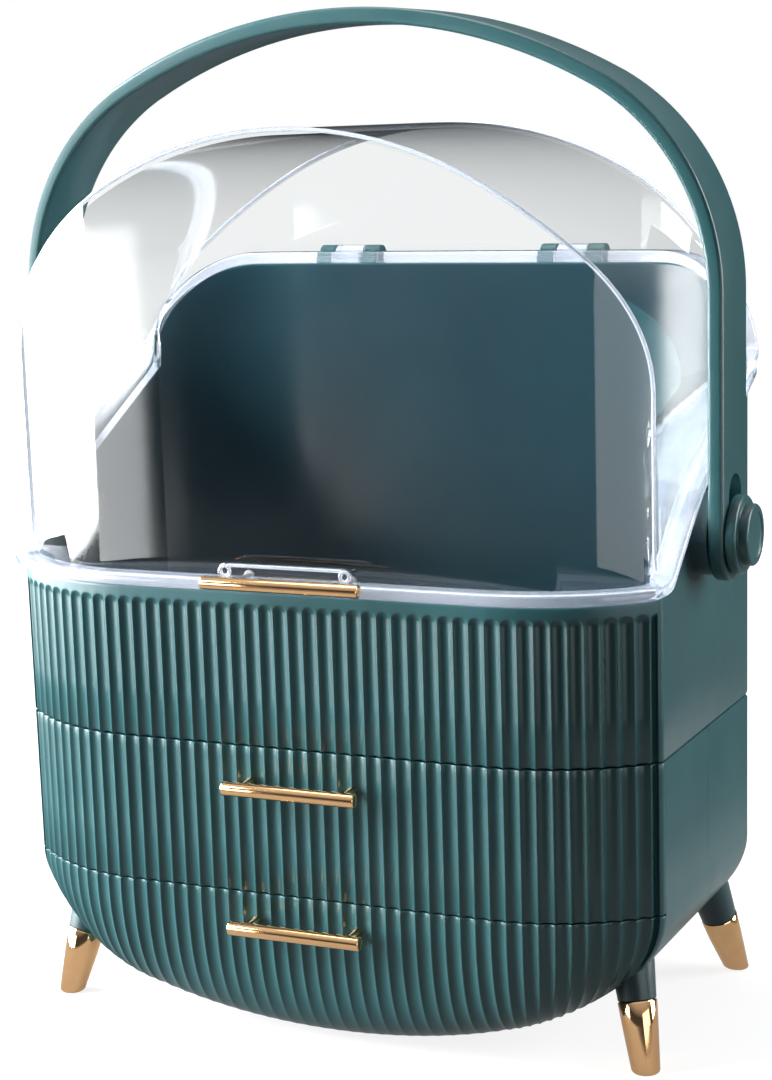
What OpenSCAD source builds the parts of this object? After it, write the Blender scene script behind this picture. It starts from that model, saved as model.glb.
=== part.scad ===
// Makeup organizer with two bowed drawers, a clear arched lid and a slotted carrying handle.
// Millimetres, +Z up, the front faces -Y and the floor is z = 0.
// In plan the body is a wide stadium whose two ends are sliced flat.

/* [Body] */
// Width of the body across its flat sides
body_w = 290; // [284:1:300]
// Radius of the plan's round corners, which is half of the body's depth
corner_r = 88; // [84:1:92]
// Distance from each flat side in to the centre of the round corner
corner_run = 65; // [61:1:69]
// Thickness of the moulded walls
wall = 2.8; // [2.4:0.1:3.4]
// Height of the seam between the two drawers, where the bowl starts
seam_low = 68; // [66:1:70]
// Height of the seam between the lower and the upper casing
seam_high = 131; // [126:1:134]
// Gap along every seam that opens
seam_gap = 0.6; // [0.4:0.1:0.8]

/* [Bowl] */
// Height of the lowest point of the bowl above the floor
bowl_clear = 2; // [2:0.5:5]
// How far the bowl draws in towards its underside
bowl_inset = 30; // [28:1:31]
// Fullness of the bowl's front: 1 is an ellipse, and less is fuller
bowl_fullness = 0.8; // [0.75:0.05:1]

/* [Flutes] */
// Distance between two flutes along the front
flute_pitch = 6.56; // [6.2:0.02:6.56]
// Radius of the hollow of one flute
flute_r = 4; // [3.8:0.1:5]
// Depth of one flute
flute_depth = 1.5; // [1:0.1:1.6]

/* [Rim] */
// Height of the casing's rim along the front
rim_front = 196; // [192:1:200]
// Height of the rim where the steep part at the front corner ends
rim_mid = 231; // [229:1:236]
// Height of the rim at the back corner
rim_back = 270; // [266:1:274]
// Height of the back wall
back_top = 316; // [312:1:320]
// Radius of the back wall's two upper corners
back_r = 44; // [40:1:48]
// Place along Y where the rim starts to rise
rise_start = -62; // [-64:1:-60]
// Place along Y where the steep part ends
rise_bend = -20; // [-24:1:-18]
// Place along Y where the back wall begins
back_start = 57; // [56:1:58]

/* [Lid] */
// Height of the top of the clear arch
lid_top = 379; // [375:1:382]
// Height of the centres of the arch's shoulders
shoulder_z = 276; // [272:1:280]
// Radius of the arch's shoulders
shoulder_r = 75; // [70:1:80]
// How far the lid's wall stands inside the body's outline
lid_inset = 3; // [2:0.5:3]
// Thickness of the clear wall
lid_wall = 2.5; // [2:0.1:3]
// Thickness of the flange along the rim
flange_t = 5; // [4:0.5:6]
// How far the flange stands out over the body
flange_out = 4.5; // [3:0.5:5]
// Gap between the flange and the rim
lid_gap = 0.3; // [0.2:0.1:0.4]

/* [Hinge] */
// Distance of each hinge from the middle
hinge_x = 55; // [45:1:60]
// Distance of the hinge axis behind the body's back
hinge_out = 6; // [5.8:0.1:6.5]
// Height of the hinge axis above the top of the back wall
hinge_up = 3; // [2.5:0.5:3.5]
// Radius of a hinge knuckle
knuckle_r = 5; // [4.5:0.1:5.2]
// Width of the lid's knuckle
lid_knuckle_w = 14; // [10:1:18]
// Width of each of the casing's knuckles
casing_knuckle_w = 8; // [6:1:10]
// Radius of the hinge pin
hinge_pin_r = 1.6; // [1.4:0.1:2]

/* [Drawers] */
// Distance from each flat side of the body in to the upper drawer's box
upper_box_in = 19; // [18:1:25]
// Distance from each flat side of the body in to the lower drawer's box
lower_box_in = 41; // [40:1:47]
// Place along Y of the upper box's back
upper_box_back = 68; // [60:1:69]
// Place along Y of the lower box's back
lower_box_back = 50; // [44:1:51]
// Height of the lower box's underside
lower_box_z = 30; // [29:0.5:34]
// Width and height of the slanted lower corners of the lower box
lower_box_slant = 18; // [16:1:20]
// Thickness of the walls of both boxes
box_wall = 2; // [1.6:0.1:2.4]
// Gap around a drawer box
run_gap = 0.4; // [0.3:0.1:0.6]
// Place along Y of the plane where the bowed fronts begin
front_plane = -57; // [-57.5:0.5:-56.5]
// Thickness of the bowed skin of a drawer front
front_skin = 3.6; // [3.2:0.2:4]

/* [Bars] */
// Radius of the two drawer bars
bar_r = 3; // [2.6:0.1:3.4]
// Length of the two drawer bars
bar_l = 60; // [54:2:68]
// Distance from the drawer front to the middle of a bar
bar_out = 12; // [10:0.5:13]
// Height of the upper drawer's bar
upper_bar_z = 116; // [110:1:118]
// Height of the lower drawer's bar
lower_bar_z = 56; // [50:1:58]
// Radius of the lid's bar
lid_bar_r = 2.7; // [2.4:0.1:3]
// Length of the lid's bar
lid_bar_l = 70; // [64:2:76]
// Distance from the middle to each post of the drawer bars
post_x = 23; // [18:1:25]
// Radius of the posts
post_r = 2.1; // [1.9:0.1:2.4]

/* [Legs] */
// Distance from each flat side of the body in to the middle of a foot
foot_in = 9; // [7:1:13]
// Distance of the two front feet from the middle along Y
front_foot_y = 57; // [54:1:58]
// Distance of the two back feet from the middle along Y
back_foot_y = 72; // [70:1:73]
// How far a leg leans in along X for each millimetre of height
lean_x = 0.20; // [0.18:0.01:0.22]
// How far a front leg leans in along Y for each millimetre of height
front_lean_y = 0.22; // [0.2:0.01:0.24]
// How far a back leg leans in along Y for each millimetre of height
back_lean_y = 0.36; // [0.34:0.01:0.38]
// Radius of a leg inside its socket
leg_r = 9; // [8.4:0.1:9.4]
// Radius of a leg's end cap at the floor
cap_end_r = 6; // [5.6:0.1:6.6]
// Height of an end cap along the leg
cap_l = 29; // [26:1:31]
// Place along the leg where its taper ends
leg_straight = 44; // [42:1:46]
// Place along the leg where it ends inside its socket
leg_top = 56; // [54:1:58]
// Radius of the peg inside an end cap
peg_r = 4.6; // [4:0.1:4.8]

/* [Handle] */
// Height of the pivots
pivot_z = 214; // [212:1:215]
// Place along Y of the pivots
pivot_y = -8; // [-10:1:-6]
// Gap between the body's side and the handle
handle_gap = 7.5; // [6.5:0.5:9]
// Thickness of the handle's band
handle_t = 6.5; // [5.5:0.5:7]
// Width of the handle's band
handle_w = 34; // [33:1:38]
// Height of the top of the handle
handle_top = 426; // [422:1:430]
// Radius of the handle's shoulders
handle_shoulder_r = 100; // [96:1:104]
// Height of the centres of the handle's shoulders
handle_shoulder_z = 311; // [308:1:314]
// How far the handle can sink along its slots
slot_travel = 16; // [10:1:18]
// Radius of the bush that runs in each slot
bush_r = 8.4; // [7.5:0.1:8.8]
// Radius of the pivot pins
pivot_pin_r = 4; // [3.5:0.1:4.5]
// Radius of the round spacer behind each leg of the handle
spacer_r = 17; // [16:0.5:17.5]
// Radius of the pivot knobs
knob_r = 16; // [15:0.5:17]
// Thickness of a pivot knob
knob_t = 8.4; // [7:0.2:10]

/* [Hidden] */
$fn = 96;
fit = 0.05;
slide_fit = 0.1;
half_w = body_w / 2;
corner_x = half_w - corner_run;
far = 600;
deep = 3 * corner_r;
corner_turn = asin(corner_run / corner_r);

// flutes across the front: as many as leave at least this plain strip beside each corner
plain_strip = 1.6;
front_run = corner_x + corner_r * corner_turn * PI / 180;
flute_count = 2 * floor((front_run - plain_strip) / flute_pitch);

// plain lip over the flutes of the upper casing
lip_h = 5;

// floor of the tray and shelf between the drawers
tray_floor = 3;
shelf_t = 3;
shelf_top = seam_low + shelf_t;

// how much tighter the crown of an arch is than one that would run smoothly into its shoulders
crown_crease = 0.7;

// how much wider the back wall's arch is than the body, so that it meets the flat sides in a slight crease
side_crease = 0.2;

// screws
screw_r = 1.5;
screw_head_r = 3;
screw_head_t = 1.6;
head_sink = 0.1;
head_room = 0.2;
casing_post_r = 5;
casing_post_x = half_w - wall - casing_post_r + 0.5;
casing_post_y = 47;
casing_screw_l = 16;

// drawer boxes
upper_box_x = half_w - upper_box_in;
lower_box_x = half_w - lower_box_in;
upper_box_z = shelf_top + run_gap;
upper_box_top = seam_high - 3.4;
lower_box_top = seam_low - 3.4;
front_wall_t = 2.4;
front_edge = 3;
upper_box_slant = 2;
guide_w = 2;
guide_h = 6;
web_t = 2.4;
web_gap = 0.8;
runner_in = 38;
runner_x = lower_box_x - runner_in;
runner_w = 3;
bowl_step = 0.3;
upper_cover_x = half_w - 8;
lower_cover_x = lower_box_x;
front_screw_in = 44;
front_screw_x = lower_box_x - front_screw_in;
front_screw_l = 7;
front_boss_r = 3.6;
post_sink = 1.4;

// bars
bar_screw_l = 8;
screw_seat = 0.3;
lid_bar_z = rim_front + lid_gap + flange_t / 2 + 2.6;
lid_bar_out = 9.8;
tab_w = 60;
tab_t = 3.2;
tab_h = 11.5;
tab_z = rim_front + lid_gap + 1.4;

// hinge
hinge_y = corner_r + hinge_out;
hinge_z = back_top + hinge_up;
knuckle_gap = 0.3;
hinge_pin_l = lid_knuckle_w + 2 * (casing_knuckle_w + knuckle_gap);
bracket_h = 13;
bracket_sink = 1;

// legs
foot_x = half_w - foot_in;
leg_screw_l = 10;
cap_top_r = 8.2;
leg_green_r = 7.9;
socket_wall = 3;
socket_roof = 3;
peg_end = 5;
cap_taper = (cap_top_r - cap_end_r) / cap_l;
cap_overrun = 5;
cap_turn = 40;

// handle
leg_inner = half_w + handle_gap;
handle_half = leg_inner + handle_t;
play = 0.15;
end_z = pivot_z - 2;
nut_r = 7;
nut_t = 3;
knob_step = 4.2;
knob_face_r = knob_r - 3.4;
pin_end = 5;

// bowl grid
bowl_rows = 9;
arc_steps = 8;
flat_steps = 8;
flute_steps = 4;

shell_green = [0.16, 0.33, 0.33];
dark_green = [0.08, 0.18, 0.19];
gold = [0.86, 0.62, 0.36];
clear = [0.75, 0.82, 0.85];
steel = [0.7, 0.7, 0.72];

// ---------------------------------------------------------------- plan of the body

// wide stadium that bows the front and the back, grown outwards by grow
module stadium(grow) {
    for (side = [-1, 1]) {
        translate([side * corner_x, 0]) circle(r = corner_r + grow);
    }
    square([2 * corner_x, 2 * (corner_r + grow)], center = true);
}

// the body's outline: the stadium with its two ends sliced flat
module plan(grow) {
    intersection() {
        stadium(grow);
        square([body_w + 2 * grow, 2 * deep], center = true);
    }
}

// a point of the front's outline at the signed length s from the middle, moved out by out
function front_angle(s) = sign(s) * max(abs(s) - corner_x, 0) / corner_r * 180 / PI;
function front_point(s, out) = [
    min(max(s, -corner_x), corner_x) + (corner_r + out) * sin(front_angle(s)),
    -(corner_r + out) * cos(front_angle(s))
];

// hollows of the flutes, as round cuts in the plan
module flute_cuts() {
    for (i = [0 : flute_count - 1]) {
        s = (i - (flute_count - 1) / 2) * flute_pitch;
        translate(front_point(s, flute_r - flute_depth)) circle(r = flute_r, $fn = 48);
    }
}

module fluted_plan() {
    difference() {
        plan(0);
        flute_cuts();
    }
}

// ---------------------------------------------------------------- bowl below the lower seam

// half of one bowl ring, from the middle of the front to the middle of the side, drawn in by d
function ring_side_y(d) = sqrt(pow(corner_r - d, 2) - pow(corner_run - d, 2));
function ring_turn(d) = asin((corner_run - d) / (corner_r - d));
function arc_point(share, d, dent) = [
    corner_x + (corner_r - d - dent) * sin(share * ring_turn(d)),
    -(corner_r - d - dent) * cos(share * ring_turn(d))
];

// the keel line under the bowl is half an ellipse that hangs from the seam
bowl_drop = seam_low - bowl_clear;
function keel_drop(x) = bowl_drop * sqrt(1 - x * x / (half_w * half_w));

// how far the middle of the front is drawn in at the height z
function draw_turn(z) = asin(pow(max(seam_low - z, 0) / bowl_drop, 1 / bowl_fullness));
function front_draw(z) = bowl_inset * (1 - pow(cos(draw_turn(z)), bowl_fullness)) + bowl_step;

// columns of the front, as the signed length from the middle and the depth of its flute
function plain_columns() = concat(
    [for (i = [0 : arc_steps - 1]) [-1 + i / arc_steps, 0, 0]],
    [for (i = [0 : flat_steps]) [0, -1 + 2 * i / flat_steps, 0]],
    [for (i = [1 : arc_steps]) [i / arc_steps, 0, 0]]
);
function column_of(s, dent) = abs(s) <= corner_x
    ? [0, s / corner_x, dent]
    : [sign(s) * (abs(s) - corner_x) / (corner_turn * PI / 180 * corner_r), sign(s), dent];
function flute_dent(k) = flute_depth * (1 - pow(abs(2 * k / flute_steps - 1), 2));
function fluted_columns() = concat(
    [[-1, 0, 0]],
    [for (i = [0 : flute_count - 1]) for (k = [0 : flute_steps - 1])
        column_of((i - flute_count / 2 + k / flute_steps) * flute_pitch, flute_dent(k))],
    [column_of(flute_count / 2 * flute_pitch, 0)],
    [[1, 0, 0]]
);

// place of a column at the draw-in d: the share of the corner arc, or of the flat middle
function column_xy(c, d) = c[0] == 0
    ? [c[1] * corner_x, -(corner_r - d - c[2])]
    : [sign(c[0]) * arc_point(abs(c[0]), d, c[2])[0], arc_point(abs(c[0]), d, c[2])[1]];
// How far a column has drawn in and dropped at the angle t. In the middle it follows a full curve
// towards the underside, and at the corner it follows the keel's ellipse.
keel_turn = acos(1 - bowl_inset / half_w);
function column_blend(c) = c[0] * c[0];
function draw_at(c, t) = let (blend = column_blend(c))
    (1 - blend) * bowl_inset * (1 - pow(cos(t), bowl_fullness))
    + blend * half_w * (1 - cos(t / 90 * keel_turn));
function drop_at(c, t) = let (blend = column_blend(c))
    (1 - blend) * pow(sin(t), bowl_fullness) + blend * sin(t / 90 * keel_turn) / sin(keel_turn);

// one ring of the bowl at the angle t: the front's columns, then the same ones along the back
function bowl_ring(columns, t, inset) = let (
    front = [for (c = columns) let (
        p = column_xy(c, draw_at(c, t) + inset),
        drop = keel_drop(column_xy([c[0], c[1], 0], bowl_inset)[0]) - inset
    ) [p[0], p[1], seam_low - drop * drop_at(c, t)]],
    n = len(front)
) concat(front, [for (i = [n - 1 : -1 : 0]) [front[i][0], -front[i][1], front[i][2]]]);

// closed solid of the bowl: rings of one grid, with ruled strips over the top and the underside
module bowl(columns, inset) {
    n = len(columns);
    ring = 2 * n;
    last = bowl_rows * ring;
    points = [for (r = [0 : bowl_rows]) each bowl_ring(columns, 90 * r / bowl_rows, inset)];
    walls = [for (r = [0 : bowl_rows - 1]) for (i = [0 : ring - 1]) each let (
        a = r * ring + i,
        b = r * ring + (i + 1) % ring,
        c = a + ring,
        d = b + ring
    ) [[a, b, c], [b, d, c]]];
    top = [for (i = [0 : n - 2]) each let (j = ring - 1 - i) [[i, j, i + 1], [i + 1, j, j - 1]]];
    under = [for (i = [0 : n - 2]) each let (
        a = last + i,
        j = last + ring - 1 - i
    ) [[a, a + 1, j], [a + 1, j - 1, j]]];
    polyhedron(points = points, faces = concat(walls, top, under), convexity = 6);
}

// ---------------------------------------------------------------- rim and arches

// everything under the rim, which is raised by lift
module under_rim(lift) {
    rotate([90, 0, 90]) {
        translate([0, 0, -far / 2]) {
            linear_extrude(far) {
                polygon([
                    [-deep, -10],
                    [-deep, rim_front + lift],
                    [rise_start, rim_front + lift],
                    [rise_bend, rim_mid + lift],
                    [back_start, rim_back + lift],
                    [deep, rim_back + lift],
                    [deep, -10]
                ]);
            }
        }
    }
    translate([0, deep, 0]) {
        rotate([90, 0, 0]) {
            linear_extrude(deep - back_start + min(lift, lid_gap)) back_arch(lift);
        }
    }
}

// outline of the back wall, with two round upper corners
module back_arch(lift) {
    half = half_w + side_crease;
    x = half - back_r;
    z = back_top - back_r;
    translate([-half - lift, 0]) square([2 * (half + lift), z]);
    translate([-x, 0]) square([2 * x, back_top + lift]);
    for (side = [-1, 1]) {
        translate([side * x, z]) circle(r = back_r + lift);
    }
}

// arch with two round shoulders under one wide crown, drawn in by inset
module arch(half, top, shoulder_radius, shoulder_height, inset) {
    x = half - shoulder_radius;
    rise = top - shoulder_height;
    smooth_r = (x * x + rise * rise - shoulder_radius * shoulder_radius) / (2 * (rise - shoulder_radius));
    crown_r = smooth_r - crown_crease;
    crown_z = top - crown_r;
    spread = 2 * crown_r;
    turn = atan2(x, shoulder_height - crown_z);
    translate([-half + inset, 0]) square([2 * (half - inset), shoulder_height]);
    for (side = [-1, 1]) {
        translate([side * x, shoulder_height]) circle(r = shoulder_radius - inset);
    }
    translate([-x, 0]) square([2 * x, shoulder_height + 1]);
    intersection() {
        translate([0, crown_z]) circle(r = crown_r - inset, $fn = 180);
        polygon([
            [0, crown_z],
            [-spread * sin(turn), crown_z + spread * cos(turn)],
            [spread * sin(turn), crown_z + spread * cos(turn)]
        ]);
    }
}

// ---------------------------------------------------------------- casings

// fluted wall with a plain lip over the tops of the flutes, still without its rim
module casing_wall() {
    translate([0, 0, seam_high]) {
        linear_extrude(rim_front - lip_h - seam_high) {
            difference() {
                fluted_plan();
                plan(-wall);
            }
        }
    }
    translate([0, 0, rim_front - lip_h]) {
        linear_extrude(far) {
            difference() {
                plan(0);
                plan(-wall);
            }
        }
    }
}

module upper_casing() {
    color(shell_green) {
        difference() {
            union() {
                intersection() {
                    casing_wall();
                    under_rim(0);
                }
                translate([0, 0, seam_high]) linear_extrude(tray_floor) plan(-wall / 2);
                hinge_brackets();
            }
            hinge_bores();
            casing_screw_cuts(screw_r + 0.3);
            screw_head_cuts();
            pivot_bores(pivot_pin_r + fit);
        }
    }
}

// knuckles of the casing, on short brackets behind the back wall
module hinge_brackets() {
    for (side = [-1, 1]) for (end = [-1, 1]) {
        middle = side * hinge_x + end * (lid_knuckle_w + casing_knuckle_w + 2 * knuckle_gap) / 2;
        translate([middle - casing_knuckle_w / 2, hinge_y, hinge_z]) {
            rotate([0, 90, 0]) cylinder(r = knuckle_r, h = casing_knuckle_w, $fn = 48);
        }
        translate([middle - casing_knuckle_w / 2, corner_r - bracket_sink, hinge_z - bracket_h]) {
            cube([casing_knuckle_w, hinge_out + bracket_sink + knuckle_r * 0.6, bracket_h]);
        }
    }
}

module hinge_bores() {
    for (side = [-1, 1]) {
        translate([side * hinge_x - hinge_pin_l, hinge_y, hinge_z]) {
            rotate([0, 90, 0]) cylinder(r = hinge_pin_r + fit, h = 2 * hinge_pin_l, $fn = 32);
        }
    }
}

// places of the screws that join the two casings
module at_casing_screws() {
    for (x = [-1, 1]) for (y = [-1, 1]) {
        translate([x * casing_post_x, y * casing_post_y, 0]) children();
    }
}

module casing_screw_cuts(radius) {
    at_casing_screws() {
        translate([0, 0, seam_high - casing_screw_l - 2]) {
            cylinder(r = radius, h = casing_screw_l + tray_floor + 4, $fn = 32);
        }
    }
}

// sinks in the tray floor for the heads of the screws
module screw_head_cuts() {
    at_casing_screws() {
        translate([0, 0, seam_high + tray_floor - head_sink - screw_head_t]) {
            cylinder(r = screw_head_r + head_room, h = 2 * screw_head_t, $fn = 48);
        }
    }
}

module casing_screws() {
    color(steel) {
        at_casing_screws() {
            translate([0, 0, seam_high + tray_floor - head_sink - screw_head_t]) {
                cylinder(r = screw_head_r, h = screw_head_t, $fn = 32);
                translate([0, 0, -casing_screw_l]) cylinder(r = screw_r, h = casing_screw_l + 0.5, $fn = 32);
            }
        }
    }
}

// half space behind the plane of the drawer fronts
module behind_fronts(from_z, to_z) {
    translate([-far / 2, front_plane, from_z]) cube([far, far, to_z - from_z]);
}

module lower_casing() {
    color(shell_green) {
        difference() {
            union() {
                intersection() {
                    translate([0, 0, seam_low]) {
                        linear_extrude(seam_high - seam_low) {
                            difference() {
                                plan(0);
                                plan(-wall);
                            }
                        }
                    }
                    behind_fronts(seam_low, seam_high);
                }
                intersection() {
                    translate([0, 0, seam_low]) linear_extrude(shelf_t) plan(-wall / 2);
                    behind_fronts(seam_low, seam_high);
                }
                at_casing_screws() {
                    translate([0, 0, shelf_top - 1]) cylinder(r = casing_post_r, h = seam_high - shelf_top + 1, $fn = 48);
                }
                drawer_guides();
                intersection() {
                    bowl_structure();
                    behind_fronts(0, seam_low + 1);
                }
            }
            casing_screw_cuts(screw_r + fit);
            at_legs() leg_socket_cut();
        }
    }
}

// two low ribs on the shelf that steer the upper drawer
module drawer_guides() {
    for (side = [-1, 1]) {
        x = side > 0 ? upper_box_x + run_gap : -upper_box_x - run_gap - guide_w;
        translate([x, front_plane + 8, shelf_top - 0.5]) {
            cube([guide_w, upper_box_back - front_plane - 8, guide_h + 0.5]);
        }
    }
}

// bowl skin with the leg sockets, two side webs and the two runners under the lower drawer
module bowl_structure() {
    difference() {
        bowl(plain_columns(), bowl_step);
        difference() {
            bowl(plain_columns(), bowl_step + wall);
            at_legs() socket_body();
            for (side = [-1, 1]) {
                x = side > 0 ? lower_box_x + web_gap : -lower_box_x - web_gap - web_t;
                translate([x, -deep, 0]) cube([web_t, deep + lower_box_back, seam_low]);
                translate([side * runner_x - runner_w / 2, front_plane + 2, 0]) {
                    cube([runner_w, lower_box_back - front_plane - 2, lower_box_z - run_gap]);
                }
            }
        }
    }
}

// ---------------------------------------------------------------- legs

// puts children on the leg's axis in one corner, with z running up the leg
module at_leg(x, y) {
    foot_y = y < 0 ? front_foot_y : back_foot_y;
    lean_y = y < 0 ? front_lean_y : back_lean_y;
    tilt = atan(sqrt(lean_x * lean_x + lean_y * lean_y));
    mirror([x < 0 ? 1 : 0, 0, 0]) {
        mirror([0, y < 0 ? 1 : 0, 0]) {
            translate([foot_x, foot_y, 0]) {
                rotate([0, tilt, atan2(-lean_y, -lean_x)]) children();
            }
        }
    }
}

module at_legs() {
    for (x = [-1, 1]) for (y = [-1, 1]) at_leg(x, y) children();
}

module socket_body() {
    translate([0, 0, 20]) cylinder(r = leg_r + socket_wall, h = leg_top + socket_roof - 20, $fn = 48);
}

module leg_socket_cut() {
    translate([0, 0, 20]) cylinder(r = leg_r + slide_fit, h = leg_top - 20, $fn = 48);
    cylinder(r = screw_r + 0.2, h = leg_top + socket_roof + 6, $fn = 32);
}

// green leg: straight in the socket, tapered below it, with a peg for the end cap
module leg_shape() {
    difference() {
        rotate_extrude($fn = 64) {
            polygon([
                [0, peg_end],
                [peg_r, peg_end],
                [peg_r, cap_l],
                [leg_green_r, cap_l],
                [leg_r, leg_straight],
                [leg_r, leg_top - 0.2],
                [0, leg_top - 0.2]
            ]);
        }
        translate([0, 0, leg_top - 12]) cylinder(r = screw_r + fit, h = 20, $fn = 32);
    }
}

// end cap: a tapered cup that runs on below the floor, where the cap is cut flat
module cap_shape() {
    difference() {
        translate([0, 0, -cap_overrun]) {
            cylinder(r1 = cap_end_r - cap_taper * cap_overrun, r2 = cap_top_r, h = cap_l + cap_overrun, $fn = 64);
        }
        translate([0, 0, peg_end]) cylinder(r = peg_r + fit, h = cap_l, $fn = 64);
    }
}

module leg(x, y) {
    color(dark_green) at_leg(x, y) leg_shape();
}

module cap(x, y) {
    color(gold) {
        difference() {
            at_leg(x, y) rotate([0, 0, cap_turn]) cap_shape();
            translate([x * foot_x - leg_top, -deep, -leg_top]) cube([2 * leg_top, 2 * deep, leg_top]);
        }
    }
}

module leg_screws() {
    color(steel) {
        at_legs() {
            translate([0, 0, leg_top - leg_screw_l]) cylinder(r = screw_r, h = leg_screw_l + socket_roof, $fn = 32);
            translate([0, 0, leg_top + socket_roof]) cylinder(r = screw_head_r, h = screw_head_t, $fn = 32);
        }
    }
}

module front_left_leg() { leg(-1, -1); }
module front_right_leg() { leg(1, -1); }
module back_left_leg() { leg(-1, 1); }
module back_right_leg() { leg(1, 1); }
module front_left_cap() { cap(-1, -1); }
module front_right_cap() { cap(1, -1); }
module back_left_cap() { cap(-1, 1); }
module back_right_cap() { cap(1, 1); }

// ---------------------------------------------------------------- lid

// solid block of the lid's arch, drawn in by inset
module lid_block(inset) {
    intersection() {
        translate([0, deep, 0]) {
            rotate([90, 0, 0]) {
                linear_extrude(2 * deep) arch(half_w - lid_inset, lid_top, shoulder_r, shoulder_z, inset);
            }
        }
        linear_extrude(far) stadium(-lid_inset - inset);
    }
}

module clear_lid() {
    color(clear, 0.4) {
        difference() {
            union() {
                difference() {
                    lid_block(0);
                    lid_block(lid_wall);
                    under_rim(lid_gap);
                }
                difference() {
                    intersection() {
                        linear_extrude(far) {
                            difference() {
                                plan(flange_out);
                                plan(-lid_inset - lid_wall);
                            }
                        }
                        under_rim(lid_gap + flange_t);
                    }
                    under_rim(lid_gap);
                }
                lid_knuckles();
            }
            hinge_bores();
            casing_knuckle_room();
            grip_screw_bores();
        }
    }
}

module lid_knuckles() {
    for (side = [-1, 1]) {
        translate([side * hinge_x - lid_knuckle_w / 2, 0, 0]) {
            translate([0, hinge_y, hinge_z]) {
                rotate([0, 90, 0]) cylinder(r = knuckle_r, h = lid_knuckle_w, $fn = 48);
            }
            translate([0, corner_r - 2, back_top + lid_gap]) {
                cube([lid_knuckle_w, hinge_out + 2, flange_t]);
            }
        }
    }
}

// notches that let the lid swing past the casing's knuckles
module casing_knuckle_room() {
    for (side = [-1, 1]) for (end = [-1, 1]) {
        middle = side * hinge_x + end * (lid_knuckle_w + casing_knuckle_w + 2 * knuckle_gap) / 2;
        width = casing_knuckle_w + 2 * knuckle_gap;
        translate([middle - width / 2, corner_r - bracket_sink - 0.6, back_top - 4 * knuckle_r]) {
            cube([width, 6 * knuckle_r, 8 * knuckle_r]);
        }
    }
}

// clear plate in front of the flange that carries the lid's bar
module lid_grip_tab() {
    color(clear, 0.6) {
        difference() {
            translate([-tab_w / 2, -corner_r - flange_out - tab_t, tab_z]) cube([tab_w, tab_t, tab_h]);
            grip_screw_bores();
        }
    }
}

module grip_screw_bores() {
    for (side = [-1, 1]) {
        translate([side * post_x, -corner_r - flange_out - tab_t - 1, lid_bar_z]) {
            rotate([-90, 0, 0]) cylinder(r = screw_r + fit, h = 30, $fn = 32);
        }
    }
}

// bar with two posts that reach back to reach_y, drilled for screws
module pull_bar(radius, length, y, z, reach_y) {
    difference() {
        union() {
            translate([-length / 2, y, z]) rotate([0, 90, 0]) cylinder(r = radius, h = length, $fn = 64);
            for (side = [-1, 1]) {
                translate([side * post_x, y, z]) rotate([-90, 0, 0]) cylinder(r = post_r, h = reach_y - y, $fn = 48);
            }
        }
        for (side = [-1, 1]) {
            translate([side * post_x, y + radius, z]) {
                rotate([-90, 0, 0]) cylinder(r = 1 + fit, h = corner_r / 2, $fn = 32);
            }
        }
    }
}

module lid_grip_bar() {
    color(gold) {
        pull_bar(lid_bar_r, lid_bar_l, -corner_r - lid_bar_out - lid_bar_r, lid_bar_z, -corner_r - flange_out - tab_t);
    }
}

// screws from inside the lid, through the tab, into the posts of the bar
module lid_grip_screws() {
    color(steel) {
        for (side = [-1, 1]) {
            translate([side * post_x, -corner_r - lid_bar_out + 2, lid_bar_z]) {
                rotate([-90, 0, 0]) cylinder(r = 1, h = lid_bar_out + lid_inset + lid_wall - 2, $fn = 32);
            }
            translate([side * post_x, -corner_r + lid_inset + lid_wall, lid_bar_z]) {
                rotate([-90, 0, 0]) cylinder(r = 2.2, h = 1.2, $fn = 32);
            }
        }
    }
}

module hinge_pins() {
    color(steel) {
        for (side = [-1, 1]) {
            translate([side * hinge_x - hinge_pin_l / 2, hinge_y, hinge_z]) {
                rotate([0, 90, 0]) cylinder(r = hinge_pin_r, h = hinge_pin_l, $fn = 32);
            }
        }
    }
}

// ---------------------------------------------------------------- drawers

// cross section of a drawer box from the height low up to top, with slanted lower corners
module box_section(half, low, top, slant) {
    polygon([
        [-half, top],
        [-half, low + slant],
        [-half + slant, low],
        [half - slant, low],
        [half, low + slant],
        [half, top]
    ]);
}

// runs a cross section along Y from from_y to to_y
module along_y(from_y, to_y) {
    translate([0, to_y, 0]) rotate([90, 0, 0]) linear_extrude(to_y - from_y) children();
}

// open box from the front plane to back_y, with a wide front wall that screws to the bowed front
module drawer_box(half, back_y, low, top, cover_x, slant) {
    inner_slant = max(slant - box_wall * (2 - sqrt(2)), 0);
    difference() {
        union() {
            difference() {
                along_y(front_plane, back_y) box_section(half, low, top, slant);
                along_y(front_plane + front_wall_t, back_y - box_wall) {
                    box_section(half - box_wall, low + box_wall, top + 1, inner_slant);
                }
            }
            along_y(front_plane, front_plane + front_wall_t) box_section(cover_x, low, top, slant);
        }
        front_screw_cuts(low, top, screw_r + 0.3);
    }
}

module at_front_screws(low, top) {
    for (side = [-1, 1]) {
        translate([side * front_screw_x, front_plane, (low + top) / 2]) children();
    }
}

module front_screw_cuts(low, top, radius) {
    at_front_screws(low, top) {
        rotate([90, 0, 0]) translate([0, 0, -front_wall_t - 1]) cylinder(r = radius, h = front_wall_t + front_screw_l + 3, $fn = 32);
    }
}

// screws through the box's front wall into the bosses of the bowed front
module front_screws(low, top) {
    color(steel) {
        at_front_screws(low, top) {
            rotate([90, 0, 0]) translate([0, 0, -front_wall_t]) cylinder(r = screw_r, h = front_wall_t + front_screw_l, $fn = 32);
            rotate([-90, 0, 0]) translate([0, 0, front_wall_t]) cylinder(r = screw_head_r, h = screw_head_t, $fn = 32);
        }
    }
}

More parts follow.
